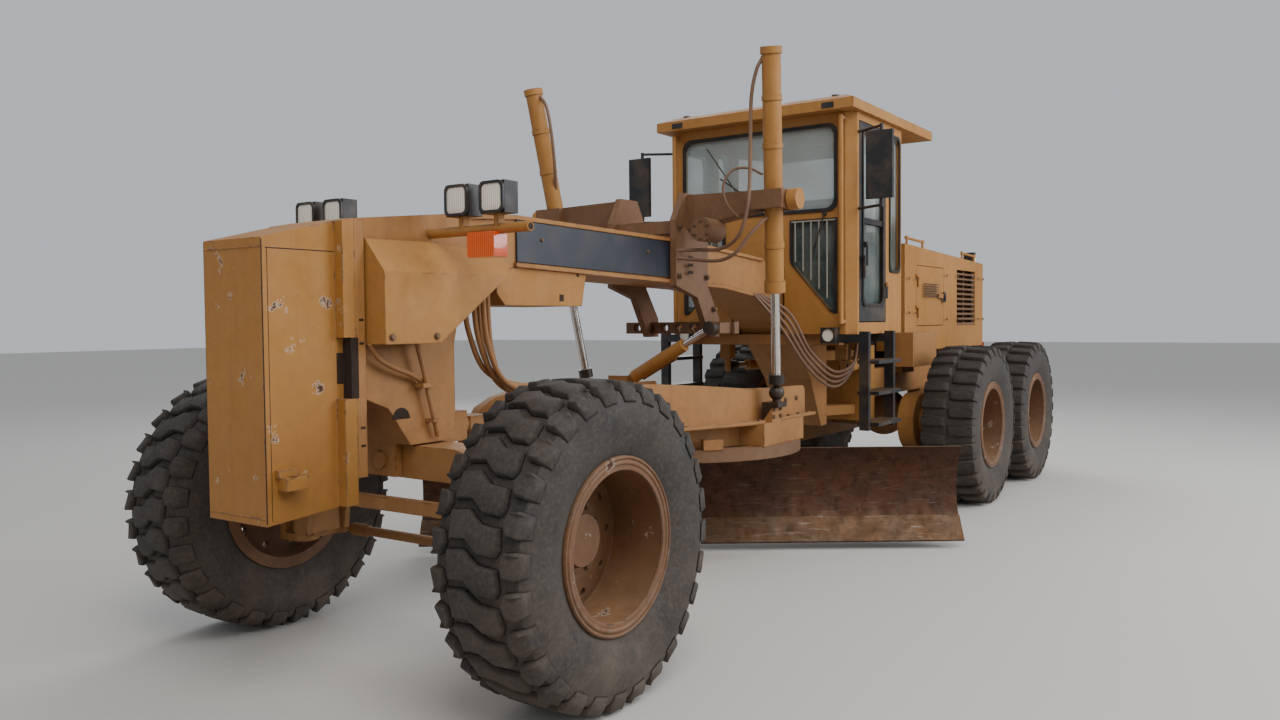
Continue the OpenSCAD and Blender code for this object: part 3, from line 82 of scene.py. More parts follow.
OCHRE = linear(156, 106, 46)
OCHRE_FADED = linear(168, 119, 62)
OCHRE_DARK = linear(134, 88, 44)
FRAME_BROWN = linear(116, 80, 50)
SOIL = linear(150, 118, 86)
SOIL_DARK = linear(88, 68, 50)
RUST = linear(92, 52, 30)
RUST_DARK = linear(52, 33, 23)
PRIMER = linear(214, 202, 184)
BLACK = linear(30, 30, 32)
RUBBER = linear(46, 44, 43)
RUBBER_DUSTY = linear(98, 84, 70)
GREASE = linear(36, 28, 22)

# Radius of the worn edges that chip, and samples of the nodes that find edges
EDGE_RADIUS = 0.012
EDGE_SAMPLES = 4
# From this share of chips on, bare spots show primer at their rims
HEAVY_CHIPS = 1.2
# Tyres are dusty up to this height
DUSTY_RUBBER_TOP = 0.9
# The cab's glass is painted paler above these heights: painted light of the bright sky seen through
# it
PAINTED_SKY_HEIGHTS = (2.24, 2.36)


def placed(name, data):
    """A new object in the scene."""
    thing = bpy.data.objects.new(name, data)
    bpy.context.scene.collection.objects.link(thing)
    return thing


def make_camera():
    """Camera of the photograph."""
    camera = placed("camera", bpy.data.cameras.new("camera"))
    back = CAMERA_RIGHT.cross(CAMERA_UP).normalized()
    turn = Matrix((CAMERA_RIGHT.normalized(), CAMERA_UP.normalized(), back)).transposed()
    camera.matrix_world = Matrix.Translation(CAMERA_PLACE) @ turn.to_4x4()
    camera.data.sensor_width = CAMERA_SENSOR
    camera.data.lens = CAMERA_LENS
    camera.data.clip_end = CAMERA_REACH
    bpy.context.scene.camera = camera


def make_stage():
    """Pale floor under a soft even sky, with one broad key light, a fill and a back light."""
    mesh = bpy.data.meshes.new("floor")
    corners = [(FLOOR_HALF * x, FLOOR_HALF * y, 0) for x, y in ((-1, -1), (1, -1), (1, 1), (-1, 1))]
    mesh.from_pydata(corners, [], [(0, 1, 2, 3)])
    mesh.materials.append(Look("floor_look").shade(linear(196, 192, 186), 0.9))
    placed("floor", mesh)
    world = bpy.data.worlds.new("sky")
    world.use_nodes = True
    sky = world.node_tree.nodes["Background"].inputs
    sky["Color"].default_value = SKY_COLOUR
    sky["Strength"].default_value = SKY_STRENGTH
    bpy.context.scene.world = world
    for name, place, power, colour in LAMPS:
        data = bpy.data.lights.new(name, "AREA")
        data.size = LAMP_SIZE
        data.energy = power
        data.color = colour
        lamp = placed(name, data)
        lamp.location = place
        lamp.rotation_euler = (LAMP_TARGET - Vector(place)).to_track_quat("-Z", "Y").to_euler()


class Look:
    """A material being built, with short calls for the nodes that it needs."""

    def __init__(self, name):
        self.material = bpy.data.materials.new(name)
        self.material.use_nodes = True
        self.tree = self.material.node_tree
        self.shader = self.tree.nodes["Principled BSDF"]
        self.place = self.node("TexCoord").outputs["Object"]

    def node(self, kind):
        return self.tree.nodes.new("ShaderNode" + kind)

    def put(self, value, socket):
        """Links a socket, or sets a plain value."""
        if isinstance(value, bpy.types.NodeSocket):
            self.tree.links.new(value, socket)
        else:
            socket.default_value = value

    def noise(self, scale, detail=5.0, roughness=0.6, stretch=(1, 1, 1)):
        """Clouded noise, finer along an axis with a larger stretch."""
        mapping = self.node("Mapping")
        mapping.inputs["Scale"].default_value = stretch
        self.put(self.place, mapping.inputs["Vector"])
        node = self.node("TexNoise")
        self.put(mapping.outputs["Vector"], node.inputs["Vector"])
        node.inputs["Scale"].default_value = scale
        node.inputs["Detail"].default_value = detail
        node.inputs["Roughness"].default_value = roughness
        return node.outputs["Fac"]

    def span(self, value, low, high, start=0.0, end=1.0):
        """Maps low to high onto start to end, held at both ends."""
        node = self.node("MapRange")
        self.put(value, node.inputs["Value"])
        ends = {"From Min": low, "From Max": high, "To Min": start, "To Max": end}
        for name, number in ends.items():
            node.inputs[name].default_value = number
        return node.outputs["Result"]

    def patches(self, scale, detail, low, high, start=0.0, end=1.0, roughness=0.6,
                stretch=(1, 1, 1)):
        """Noise whose values from low to high are mapped onto start to end."""
        return self.span(self.noise(scale, detail, roughness, stretch), low, high, start, end)

    def combine(self, operation, first, second):
        """Two values under an operation, held between none and one."""
        node = self.node("Math")
        node.operation = operation
        node.use_clamp = True
        self.put(first, node.inputs[0])
        self.put(second, node.inputs[1])
        return node.outputs[0]

    def times(self, first, second):
        return self.combine("MULTIPLY", first, second)

    def most(self, first, second):
        return self.combine("MAXIMUM", first, second)

    def mix(self, factor, first, second):
        """Colour between two, by a factor."""
        node = self.node("Mix")
        node.data_type = "RGBA"
        self.put(factor, node.inputs["Factor"])
        self.put(first, node.inputs[6])
        self.put(second, node.inputs[7])
        return node.outputs[2]

    def axis(self, name, vector=None):
        """One coordinate of a vector, or of the place on the surface."""
        node = self.node("SeparateXYZ")
        self.put(self.place if vector is None else vector, node.inputs[0])
        return node.outputs[name]

    def upward(self):
        """One on surfaces that face up, falling to none on upright ones."""
        normal = self.node("NewGeometry").outputs["Normal"]
        return self.span(self.axis("Z", normal), 0.35, 0.95)

    def softened(self, radius):
        """Normal over edges softened by a radius."""
        bevel = self.node("Bevel")
        bevel.samples = EDGE_SAMPLES
        bevel.inputs["Radius"].default_value = radius
        return bevel.outputs["Normal"]

    def edges(self):
        """One along sharp edges."""
        dot = self.node("VectorMath")
        dot.operation = "DOT_PRODUCT"
        self.put(self.softened(EDGE_RADIUS), dot.inputs[0])
        self.put(self.node("NewGeometry").outputs["Normal"], dot.inputs[1])
        return self.span(dot.outputs["Value"], 0.995, 0.88)

    def bump(self, height, strength, distance, soften=0.0):
        """Surface relief from a height, over edges softened by a small radius."""
        node = self.node("Bump")
        node.inputs["Strength"].default_value = strength
        node.inputs["Distance"].default_value = distance
        self.put(height, node.inputs["Height"])
        if soften:
            self.put(self.softened(soften), node.inputs["Normal"])
        self.put(node.outputs["Normal"], self.shader.inputs["Normal"])

    def shade(self, colour, roughness, metallic=0.0):
        """Sets the main inputs of the shader and gives back the finished material."""
        self.put(colour, self.shader.inputs["Base Color"])
        self.put(roughness, self.shader.inputs["Roughness"])
        self.shader.inputs["Metallic"].default_value = metallic
        return self.material


def paint_look(name, base, faded, dark, chips, dust, dirt_top=1.3):
    """Worn paint: clouds of fading, rain streaks, chips to rust on edges, dust where it settles."""
    look = Look(name)
    colour = look.mix(look.patches(1.3, 4.0, 0.35, 0.68), base, faded)
    colour = look.mix(look.patches(22.0, 6.0, 0.35, 0.75, 0.0, 0.35), colour, dark)
    streak = look.patches(5.0, 5.0, 0.52, 0.78, 0.0, 0.45, 0.65, (3.0, 3.0, 0.22))
    colour = look.mix(streak, colour, dark)
    # Dark grime towards the ground, pale soil on top
    low = look.span(look.axis("Z"), dirt_top, 0.3)
    grime = look.times(low, look.patches(3.0, 6.0, 0.25, 0.7))
    colour = look.mix(look.times(grime, 0.75 * dust + 0.1), colour, SOIL_DARK)
    settled = look.times(look.upward(), look.patches(9.0, 6.0, 0.2, 0.75, 0.2, 1.0))
    colour = look.mix(look.times(settled, dust), colour, SOIL)
    # Bare metal on edges and in scattered spots, each with a rim around it
    edge = look.times(look.edges(), look.patches(14.0, 8.0, 0.50, 0.60, roughness=0.7))
    flakes = look.noise(7.0, 10.0, 0.72)
    wider = 0.06 * chips
    spot = look.span(flakes, 0.72 - wider, 0.75 - wider)
    bare = look.most(look.times(edge, min(1.0, 0.4 + chips)), spot)
    rim = look.most(edge, look.span(flakes, 0.705 - wider, 0.72 - wider))
    rim_share, rim_colour = (0.35, RUST) if chips < HEAVY_CHIPS else (0.45, PRIMER)
    colour = look.mix(look.times(rim, rim_share), colour, rim_colour)
    rust = look.mix(look.patches(40.0, 4.0, 0.35, 0.65), RUST, RUST_DARK)
    rough = look.most(look.patches(6.0, 5.0, 0.3, 0.7, 0.56, 0.78), look.times(bare, 0.88))
    grain = look.patches(60.0, 3.0, 0.3, 0.7, 0.45, 0.55)
    look.bump(look.combine("SUBTRACT", grain, look.times(bare, 0.4)), 0.35, 0.0015, 0.006)
    return look.shade(look.mix(bare, colour, rust), rough)


def steel_look(name, base, worn, rust, metallic=0.6):
    """Bare ground-engaging steel: dark scale, brown rust and polished scratches."""
    look = Look(name)
    colour = look.mix(look.patches(4.0, 8.0, 0.35, 0.65, roughness=0.7), base, rust)
    colour = look.mix(look.patches(18.0, 8.0, 0.5, 0.7, roughness=0.7), colour, RUST_DARK)
    scratch = look.patches(30.0, 6.0, 0.58, 0.72, 0.0, 0.6, stretch=(0.2, 0.2, 2.5))
    colour = look.mix(scratch, colour, worn)
    colour = look.mix(look.times(look.upward(), 0.5), colour, SOIL)
    look.bump(look.noise(45.0, 6.0), 0.4, 0.002, 0.004)
    return look.shade(colour, look.patches(12.0, 5.0, 0.3, 0.7, 0.5, 0.85), metallic)


def rubber_look(name, base, dusty):
    """Tyre rubber: dark where it is clean, dusty in patches and towards the ground."""
    look = Look(name)
    low = look.span(look.axis("Z"), DUSTY_RUBBER_TOP, 0.0, 0.25, 1.0)
    dust = look.times(look.patches(5.0, 7.0, 0.3, 0.7, roughness=0.65), look.times(low, 0.7))
    colour = look.mix(dust, base, dusty)
    colour = look.mix(look.patches(60.0, 4.0, 0.45, 0.75, 0.0, 0.4), colour, dusty)
    look.bump(look.noise(80.0, 5.0), 0.3, 0.002, 0.008)
    return look.shade(colour, look.patches(9.0, 4.0, 0.3, 0.7, 0.68, 0.92))


def plain_look(name, base, dusty, roughness, amount=0.35, metallic=0.0, grain=70.0, relief=0.12):
    """Moulded, coated or cast surface with a little dust and fine grain."""
    look = Look(name)
    dust = look.most(look.upward(), look.patches(6.0, 6.0, 0.45, 0.8))
    colour = look.mix(look.times(dust, amount), base, dusty)
    look.bump(look.noise(grain, 4.0), relief, 0.0015, 0.003)
    rough = look.patches(11.0, 4.0, 0.3, 0.7, roughness - 0.08, roughness + 0.1)
    return look.shade(colour, rough, metallic)


def glass_look(name, tint, painted_sky_colour, dusty, alpha_low, alpha_high):
    """Tinted safety glass, painted paler above a height for the sky seen through it, with some
    dust.
    """
    look = Look(name)
    alpha = look.patches(2.2, 6.0, 0.4, 0.85, alpha_low, alpha_high)
    look.put(alpha, look.shader.inputs["Alpha"])
    look.bump(look.noise(1.5, 2.0), 0.05, 0.004)
    # Painted light: paler colour above a height, for the sky seen through the glass
    colour = look.mix(look.span(look.axis("Z"), *PAINTED_SKY_HEIGHTS), tint, painted_sky_colour)
    colour = look.mix(look.patches(2.2, 6.0, 0.45, 0.85), colour, dusty)
    return look.shade(colour, look.patches(14.0, 4.0, 0.3, 0.8, 0.04, 0.16))


def lens_look(name, base, painted_glint):
    """Fluted lamp lens, with painted highlights of the reflector behind it in bands along the
    flutes.
    """
    look = Look(name)
    flute = look.node("TexWave")
    flute.inputs["Scale"].default_value = 28.0
    flute.bands_direction = "Y"
    look.put(look.place, flute.inputs["Vector"])
    look.bump(flute.outputs["Fac"], 0.5, 0.003)
    look.shader.inputs["Coat Weight"].default_value = 0.8
    look.shader.inputs["Coat Roughness"].default_value = 0.04
    # Painted highlight: the lighter colour in bands along the flutes
    return look.shade(look.mix(look.span(flute.outputs["Fac"], 0.2, 0.8), base, painted_glint), 0.25)


body_paint = paint_look("body_paint", OCHRE, OCHRE_FADED, OCHRE_DARK, 0.35, 0.25)
nose_paint = paint_look("nose_paint", OCHRE, linear(164, 114, 52), OCHRE_DARK, 1.5, 0.2)
frame_paint = paint_look(
    "frame_paint", linear(150, 102, 52), linear(160, 113, 64), FRAME_BROWN, 0.5, 0.55, 1.5)
saddle_paint = paint_look(
    "saddle_paint", linear(110, 76, 50), linear(122, 88, 60), linear(80, 56, 40), 0.6, 0.6, 2.4)
rim_paint = paint_look(
    "rim_paint", linear(116, 78, 48), linear(98, 69, 46), linear(68, 48, 35), 1.6, 0.6, 1.4)
blade_steel = steel_look("blade_steel", linear(70, 52, 42), linear(112, 98, 86), linear(86, 56, 38))
edge_steel = steel_look(
    "edge_steel", linear(84, 74, 66), linear(150, 142, 134), linear(96, 66, 44), 0.8)
stack_steel = steel_look(
    "stack_steel", linear(82, 62, 46), linear(120, 90, 66), linear(98, 58, 36), 0.4)
cast_iron = plain_look("cast_iron", linear(52, 48, 44), SOIL, 0.7, 0.4, 0.4)
bolt_steel = plain_look("bolt_steel", linear(104, 82, 60), SOIL, 0.55, 0.4, 0.5)
chrome = plain_look(
    "chrome", linear(205, 200, 194), linear(150, 138, 124), 0.22, 0.3, 1.0, 20.0, 0.04)
grease = plain_look("grease", GREASE, linear(88, 66, 46), 0.4, 0.6)
tyre_rubber = rubber_look("tyre_rubber", RUBBER, RUBBER_DUSTY)
gasket_rubber = plain_look("gasket_rubber", linear(24, 24, 24), SOIL, 0.7, 0.12)
hose_painted = plain_look("hose_painted", linear(142, 98, 58), SOIL, 0.6, 0.3)
hose_brown = plain_look("hose_brown", linear(112, 84, 66), SOIL, 0.6, 0.3)
black_coat = plain_look("black_coat", BLACK, SOIL, 0.45, 0.25)
panel_blue_black = plain_look("panel_blue_black", linear(34, 40, 50), SOIL, 0.42, 0.10)
bar_grey = plain_look("bar_grey", linear(136, 134, 124), SOIL, 0.5, 0.2)
# Painted shade: dark brown for the sheets in openings, slots, seams and open tube ends
painted_recess_shade = plain_look("painted_recess_shade", linear(44, 30, 20), SOIL_DARK, 0.85, 0.3)
seat_vinyl = plain_look("seat_vinyl", linear(38, 36, 36), SOIL, 0.6, 0.3, 0.0, 120.0, 0.3)
mirror_face = plain_look("mirror_face", linear(180, 186, 190), SOIL, 0.12, 0.1, 1.0)
cab_glass = glass_look(
    "cab_glass", linear(82, 98, 96), linear(176, 188, 186), linear(150, 150, 142), 0.34, 0.50)
lamp_glass = lens_look("lamp_glass", linear(206, 196, 172), linear(236, 230, 214))
amber_lens = lens_look("amber_lens", linear(206, 74, 24), linear(226, 98, 40))
red_lens = lens_look("red_lens", linear(150, 22, 18), linear(180, 40, 30))

# Nodes by look. Tyres, rims and piston rods go by their names, all others get body_paint.
NODE_LOOKS = (
    (frame_paint, "front_frame front_axle knuckle_left knuckle_right tie_rod drawbar rear_frame"),
    (frame_paint, "tandem_drive"),
    (nose_paint, "nose_block"),
    (saddle_paint, "saddle circle_ring blade_carrier grilles"),
    (black_coat, "door_left door_right console ladders mirrors"),
    (cab_glass, "cab_glass door_left_glass door_right_glass"),
    (panel_blue_black, "hose_cover"),
    (blade_steel, "moldboard"),
    (edge_steel, "cutting_edge"),
    (cast_iron, "powertrain"),
    (stack_steel, "stacks"),
    (seat_vinyl, "seat"),
)

# Round work lamps on the nose: distances of their middles from the middle plane, and height
WORK_LAMP_YS = (0.41, 0.615)
WORK_LAMP_Z = 2.075
WORK_LENS_RADIUS = 0.0605
AMBER_Y = 0.55
AMBER_Z = 1.878


def look_of(name):
    """The look of a whole node."""
    for look, names in NODE_LOOKS:
        if name in names.split():
            return look
    if name.endswith("_tyre"):
        return tyre_rubber
    if name.endswith("_rim"):
        return rim_paint
    return chrome if "rod" in name else body_paint


def paint_faces(name, material, chosen):
    """Gives a node's faces whose middles and normals pass a test another look."""
    mesh = NODES[name].data
    mesh.materials.append(material)
    index = len(mesh.materials) - 1
    for face in mesh.polygons:
        if chosen(face.center, face.normal):
            face.material_index = index


def in_work_lens(c):
    """Whether a place lies within a round lens, seen along X."""
    reach = min(math.hypot(abs(c.y) - y, c.z - WORK_LAMP_Z) for y in WORK_LAMP_YS)
    return reach < WORK_LENS_RADIUS


def dress_nodes():
    """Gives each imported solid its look, and a second one to parts of some."""
    for name, node in NODES.items():
        node.data.materials.clear()
        node.data.materials.append(look_of(name))

    def on_front(c, n):
        return c.x > 3.61 and c.z > 2.0 and n.x > 0.9 and in_work_lens(c)

    def in_amber(c, n):
        return c.x > 3.0 and c.z < 1.935 and abs(abs(c.y) - AMBER_Y) < 0.06

    # Lamps on the nose and on the cab's foot
    paint_faces("work_lamps", black_coat, lambda c, n: c.x > 3.54 and c.z > 2.0)
    paint_faces("work_lamps", black_coat, lambda c, n: c.x < 0.3)
    paint_faces("work_lamps", lamp_glass, on_front)
    paint_faces("work_lamps", lamp_glass, lambda c, n: 0.15 < c.x < 0.18 and n.x > 0.9)
    paint_faces("work_lamps", amber_lens, in_amber)
    # Rear lamps beside the radiator
    paint_faces("grilles", black_coat, lambda c, n: c.x < -4.02 and c.z > 2.1)
    paint_faces("grilles", lamp_glass, lambda c, n: -4.10 < c.x < -4.08 and c.z > 2.1)
    # Trim inside the cab, below the windows
    paint_faces(
        "cab_shell", seat_vinyl, lambda c, n: abs(c.y) < 0.27 and c.x < 0.03 and 1.5 < c.z < 2.0)
    # Greasy joints
    for side, _ in SIDES:
        paint_faces("lift_rod_" + side, grease, lambda c, n: c.z < 1.235)
        paint_faces("artic_rod_" + side, grease, lambda c, n: c.x > -0.42)
    paint_faces("centre_shift_rod", grease, lambda c, n: c.y > 0.30)
    paint_faces("drawbar", grease, lambda c, n: c.z > 0.99 and c.x < 1.32)


def circle(count, radius, start=0.0):
    """Points on a circle in two coordinates, with the first one a share of a step onwards."""
    turns = [FULL_TURN * (k + start) / count for k in range(count)]
    return [(radius * math.cos(turn), radius * math.sin(turn)) for turn in turns]


class Form:
    """Simple solids gathered into one piece."""

    def __init__(self):
        self.points = []
        self.faces = []

    def loft(self, rings, closed=False):
        """Skins rings with equal numbers of points, with flat ends unless closed."""
        first = len(self.points)
        count = len(rings[0])
        self.points += [Vector(p) for ring in rings for p in ring]
        for r in range(len(rings) if closed else len(rings) - 1):
            a, b = first + r * count, first + (r + 1) % len(rings) * count
            for i in range(count):
                j = (i + 1) % count
                self.faces.append((a + i, a + j, b + j, b + i))
        if not closed:
            last = first + (len(rings) - 1) * count
            self.faces.append(tuple(first + i for i in reversed(range(count))))
            self.faces.append(tuple(last + i for i in range(count)))
        return self

    def box(self, low, high):
        """A box from its lowest corner to its highest."""
        (x0, y0, z0), (x1, y1, z1) = low, high
        ring = ((x0, y0), (x1, y0), (x1, y1), (x0, y1))
        return self.loft([[(x, y, z) for x, y in ring] for z in (z0, z1)])

    def plate(self, outline, y0, y1):
        """An outline in X and Z, thick along Y."""
        return self.loft([[(x, y, z) for x, z in outline] for y in (y1, y0)])

    def pad(self, y, z, stations):
        """A rounded block that faces along X: X, half width, half height, corner radius."""
        return self.loft([
            [(x, y + a, z + b) for a, b in rounded(-half_y, half_y, -half_z, half_z, radius)]
            for x, half_y, half_z, radius in stations
        ])

    def rod(self, start, end, radius, sides=20, end_radius=None):
        """A round or many-sided rod between two places."""
        start, end = Vector(start), Vector(end)
        line = (end - start).normalized()
        across = line.orthogonal().normalized()
        other = line.cross(across)
        rings = []
        for place, r in ((start, radius), (end, end_radius or radius)):
            rings.append([place + a * across + b * other for a, b in circle(sides, r)])
        return self.loft(rings)

    def bolts(self, places, normal, size):
        """Washers and hexagonal heads that face one way."""
        normal = Vector(normal)
        for place in places:
            place = Vector(place)
            self.rod(place, place + normal * size * 0.25, size * 1.35, 16)
            self.rod(place, place + normal * size, size, 6)
        return self

    def both(self):
        """Adds the mirror image across the middle plane."""
        count = len(self.points)
        self.points += [Vector((p.x, -p.y, p.z)) for p in self.points]
        self.faces += [tuple(count + i for i in reversed(face)) for face in self.faces]
        return self

    def made(self, name, body, material, smooth=0.6, bevel=0.0):
        """The finished piece, riding on a body if one is named."""
        mesh = bpy.data.meshes.new(name)
        mesh.from_pydata([tuple(p) for p in self.points], [], self.faces)
        mesh.validate()
        mesh.shade_smooth()
        mesh.set_sharp_from_angle(angle=smooth)
        mesh.materials.append(material)
        piece = placed(name, mesh)
        if bevel:
            rounding = piece.modifiers.new("rounding", "BEVEL")
            rounding.width = bevel
            rounding.segments = 2
            rounding.limit_method = "ANGLE"
        if body:
            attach(piece, body)
        return piece


def eased(points, steps=8):
    """Points along a smooth line through the given ones."""
    points = [Vector(p) for p in points]
    ends = [2 * points[0] - points[1]] + points + [2 * points[-1] - points[-2]]
    line = []
    for i in range(1, len(ends) - 2):
        a, b, c, d = ends[i - 1:i + 3]
        slope = c - a
        bend = 2 * a - 5 * b + 4 * c - d
        twist = 3 * b - a - 3 * c + d
        for k in range(steps):
            t = k / steps
            line.append(0.5 * (2 * b + slope * t + bend * t * t + twist * t ** 3))
    return line + [points[-1]]


def tubes(name, body, material, lines, radius, smooth=True):
    """Tubes along smooth or straight lines, in one piece."""
    curve = bpy.data.curves.new(name, "CURVE")
    curve.dimensions = "3D"
    curve.bevel_depth = radius
    curve.bevel_resolution = 3
    curve.use_fill_caps = True
    for line in lines:
        points = eased(line) if smooth else line
        spline = curve.splines.new("POLY")
        spline.points.add(len(points) - 1)
        for point, place in zip(spline.points, points):
            point.co = (*place, 1.0)
        spline.use_smooth = True
    curve.materials.append(material)
    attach(placed(name, curve), body)


def mirrored(lines):
    """Lines together with their mirror images across the middle plane."""
    return lines + [[(x, -y, z) for x, y, z in line] for line in lines]


def rounded(a0, a1, b0, b1, radius, steps=5):
    """Rectangle with rounded corners, anticlockwise."""
    a_low, a_high, b_low, b_high = a0 + radius, a1 - radius, b0 + radius, b1 - radius
    corners = ((a_high, b_high), (a_low, b_high), (a_low, b_low), (a_high, b_low))
    points = []
    for quarter, (a, b) in enumerate(corners):
        for k in range(steps + 1):
            turn = QUARTER_TURN * (quarter + k / steps)
            points.append((a + radius * math.cos(turn), b + radius * math.sin(turn)))
    return points


def ring_strip(form, outline, thick, width, place, across, up, out):
    """A frame of square section round an outline given along two axes."""
    mid_a = sum(a for a, b in outline) / len(outline)
    mid_b = sum(b for a, b in outline) / len(outline)
    rings = []
    for inset, lift in ((0.0, 0.0), (0.0, thick), (width, thick), (width, 0.0)):
        ring = []
        for a, b in outline:
            a -= math.copysign(inset, a - mid_a)
            b -= math.copysign(inset, b - mid_b)
            ring.append(place + across * a + up * b + out * lift)
        rings.append(ring)
    form.loft(rings, closed=True)


# Wheels: distance of a tyre's middle plane from the machine's, height of the wheels' middles
TRACK_HALF = 1.042
WHEEL_Z = 0.66
# Tyre section: distance from its middle plane, radius
TYRE_SECTION = (
    (0.160, 0.322), (0.176, 0.345), (0.190, 0.372), (0.207, 0.415), (0.2195, 0.465),
    (0.2215, 0.510), (0.2175, 0.555), (0.209, 0.590), (0.196, 0.612), (0.150, 0.624),
    (0.080, 0.630), (0.0, 0.632),
)
# Blocks of the front tread: outline as distance from the middle and share of a pitch
FRONT_BLOCKS = (
    ((-0.118, 0.50), (-0.034, 0.56), (0.030, 0.24), (0.112, 0.18), (0.120, -0.30), (0.104, -0.50),
     (0.034, -0.48), (-0.030, -0.16), (-0.112, -0.20)),
    ((0.134, 0.34), (0.152, 0.62), (0.196, 0.66), (0.216, 0.62), (0.216, 0.04), (0.196, 0.00),
     (0.150, 0.04)),
    ((-0.134, -0.34), (-0.152, -0.62), (-0.196, -0.66), (-0.216, -0.62), (-0.216, -0.04),
     (-0.196, 0.00), (-0.150, -0.04)),
)
# Blocks of the rear tread: bars from each shoulder past the middle
REAR_BLOCKS = (
    ((0.012, 0.22), (0.100, 0.26), (0.200, 0.30), (0.217, 0.28), (0.217, -0.22), (0.200, -0.24),
     (0.100, -0.28), (0.020, -0.24)),
    ((-0.012, 0.72), (-0.100, 0.76), (-0.200, 0.80), (-0.217, 0.78), (-0.217, 0.28),
     (-0.200, 0.26), (-0.100, 0.22), (-0.020, 0.26)),
)
PITCHES = 28
# Rings of a block from its foot to its top: growth of the outline, depth under the tread
BLOCK_RINGS = ((1.08, 0.036), (1.02, 0.010), (0.93, 0.002), (0.86, 0.0))
FOOT_LIMIT, TOP_LIMIT = 0.2175, 0.2165
CARCASS_STEPS = 112
# Radius of the tread at its middle and at the shoulder, start and slope of the shoulder
TREAD_MIDDLE, TREAD_EDGE, SHOULDER, SHOULDER_SLOPE = 0.6595, 0.6495, 0.2, 2.4
# Name, X and tread of each pair of wheels
WHEEL_ROWS = (
    ("front", 3.6, FRONT_BLOCKS), ("middle", -1.725, REAR_BLOCKS), ("rear", -3.247, REAR_BLOCKS))
NUTS, NUT_CIRCLE, NUT_Y, NUT_SIZE = 10, 0.155, 0.990, 0.016
# Bead rings of a rim: radius, distance from the tyre's middle plane, thickness
BEADS = ((0.350, 0.194, 0.006), (0.330, 0.190, 0.010), (0.306, 0.186, 0.006))
BEAD_STEPS = 72


def tread_radius(offset):
    """Radius of the worn tread surface at a distance from the middle plane."""
    far = abs(offset)
    if far < SHOULDER:
        return TREAD_MIDDLE - (TREAD_MIDDLE - TREAD_EDGE) * (far / SHOULDER) ** 2
    return TREAD_EDGE - SHOULDER_SLOPE * (far - SHOULDER)


def make_tyre(name, x, side, blocks, body):
    """Carcass and tread blocks of one wheel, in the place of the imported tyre."""
    form = Form()
    centre = Vector((x, side * TRACK_HALF, WHEEL_Z))

    def at(offset, radius, turn):
        return centre + Vector((radius * math.cos(turn), side * offset, radius * math.sin(turn)))

    section = [(-o, r) for o, r in TYRE_SECTION] + [(o, r) for o, r in reversed(TYRE_SECTION[:-1])]
    turns = [FULL_TURN * k / CARCASS_STEPS for k in range(CARCASS_STEPS)]
    form.loft([[at(o, r, turn) for o, r in section] for turn in turns], closed=True)
    pitch = FULL_TURN / PITCHES
    for k in range(PITCHES):
        for block in blocks:
            mid_offset = sum(o for o, share in block) / len(block)
            mid_share = sum(share for o, share in block) / len(block)
            rings = []
            for grow, depth in BLOCK_RINGS:
                limit = FOOT_LIMIT if grow > 1 else TOP_LIMIT
                ring = []
                for o, share in block:
                    offset = max(-limit, min(limit, mid_offset + (o - mid_offset) * grow))
                    turn = pitch * (k + mid_share + (share - mid_share) * grow)
                    ring.append(at(offset, tread_radius(offset) - depth, turn))
                rings.append(ring)
            form.loft(rings)
    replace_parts(form.made(name + "_dressed", body, tyre_rubber, 0.7), name)


def make_wheels():
    """Tyres, and the nuts and bead rings of the rims."""
    for row, x, blocks in WHEEL_ROWS:
        for word, side in SIDES:
            wheel = "%s_%s" % (row, word)
            body = "wheel_" + wheel
            make_tyre(wheel + "_tyre", x, side, blocks, body)
            places = [(x + a, side * NUT_Y, WHEEL_Z + b) for a, b in circle(NUTS, NUT_CIRCLE, 0.5)]
            nuts = Form().bolts(places, (0, side, 0), NUT_SIZE)
            nuts.made(wheel + "_nuts", body, bolt_steel)
            for ring, (radius, offset, thick) in enumerate(BEADS):
                y = side * (TRACK_HALF + offset)
                line = [(x + a, y, WHEEL_Z + b) for a, b in circle(BEAD_STEPS, radius)]
                line.append(line[0])
                tubes("%s_bead_%d" % (wheel, ring), body, rim_paint, [line], thick, False)


def make_front_bolts():
    """Bolts of the fairings, hose covers, valve boxes and the beam's top."""
    form = Form()
    form.bolts(((3.965, 0.350, 1.490), (3.715, 0.350, 1.490)), LEFT, 0.012)
    form.bolts(((2.841, 0.212, 1.964), (1.876, 0.212, 1.955)), LEFT, 0.009)
    form.bolts(((2.526, 0.196, 1.800), (3.100, 0.196, 1.800)), LEFT, 0.010)
    form.bolts([(1.78 - 0.075 * k, 0.170, 2.060 - 0.004 * k) for k in range(5)], UP, 0.010)
    form.both().made("front_bolts", "front_frame", bolt_steel)


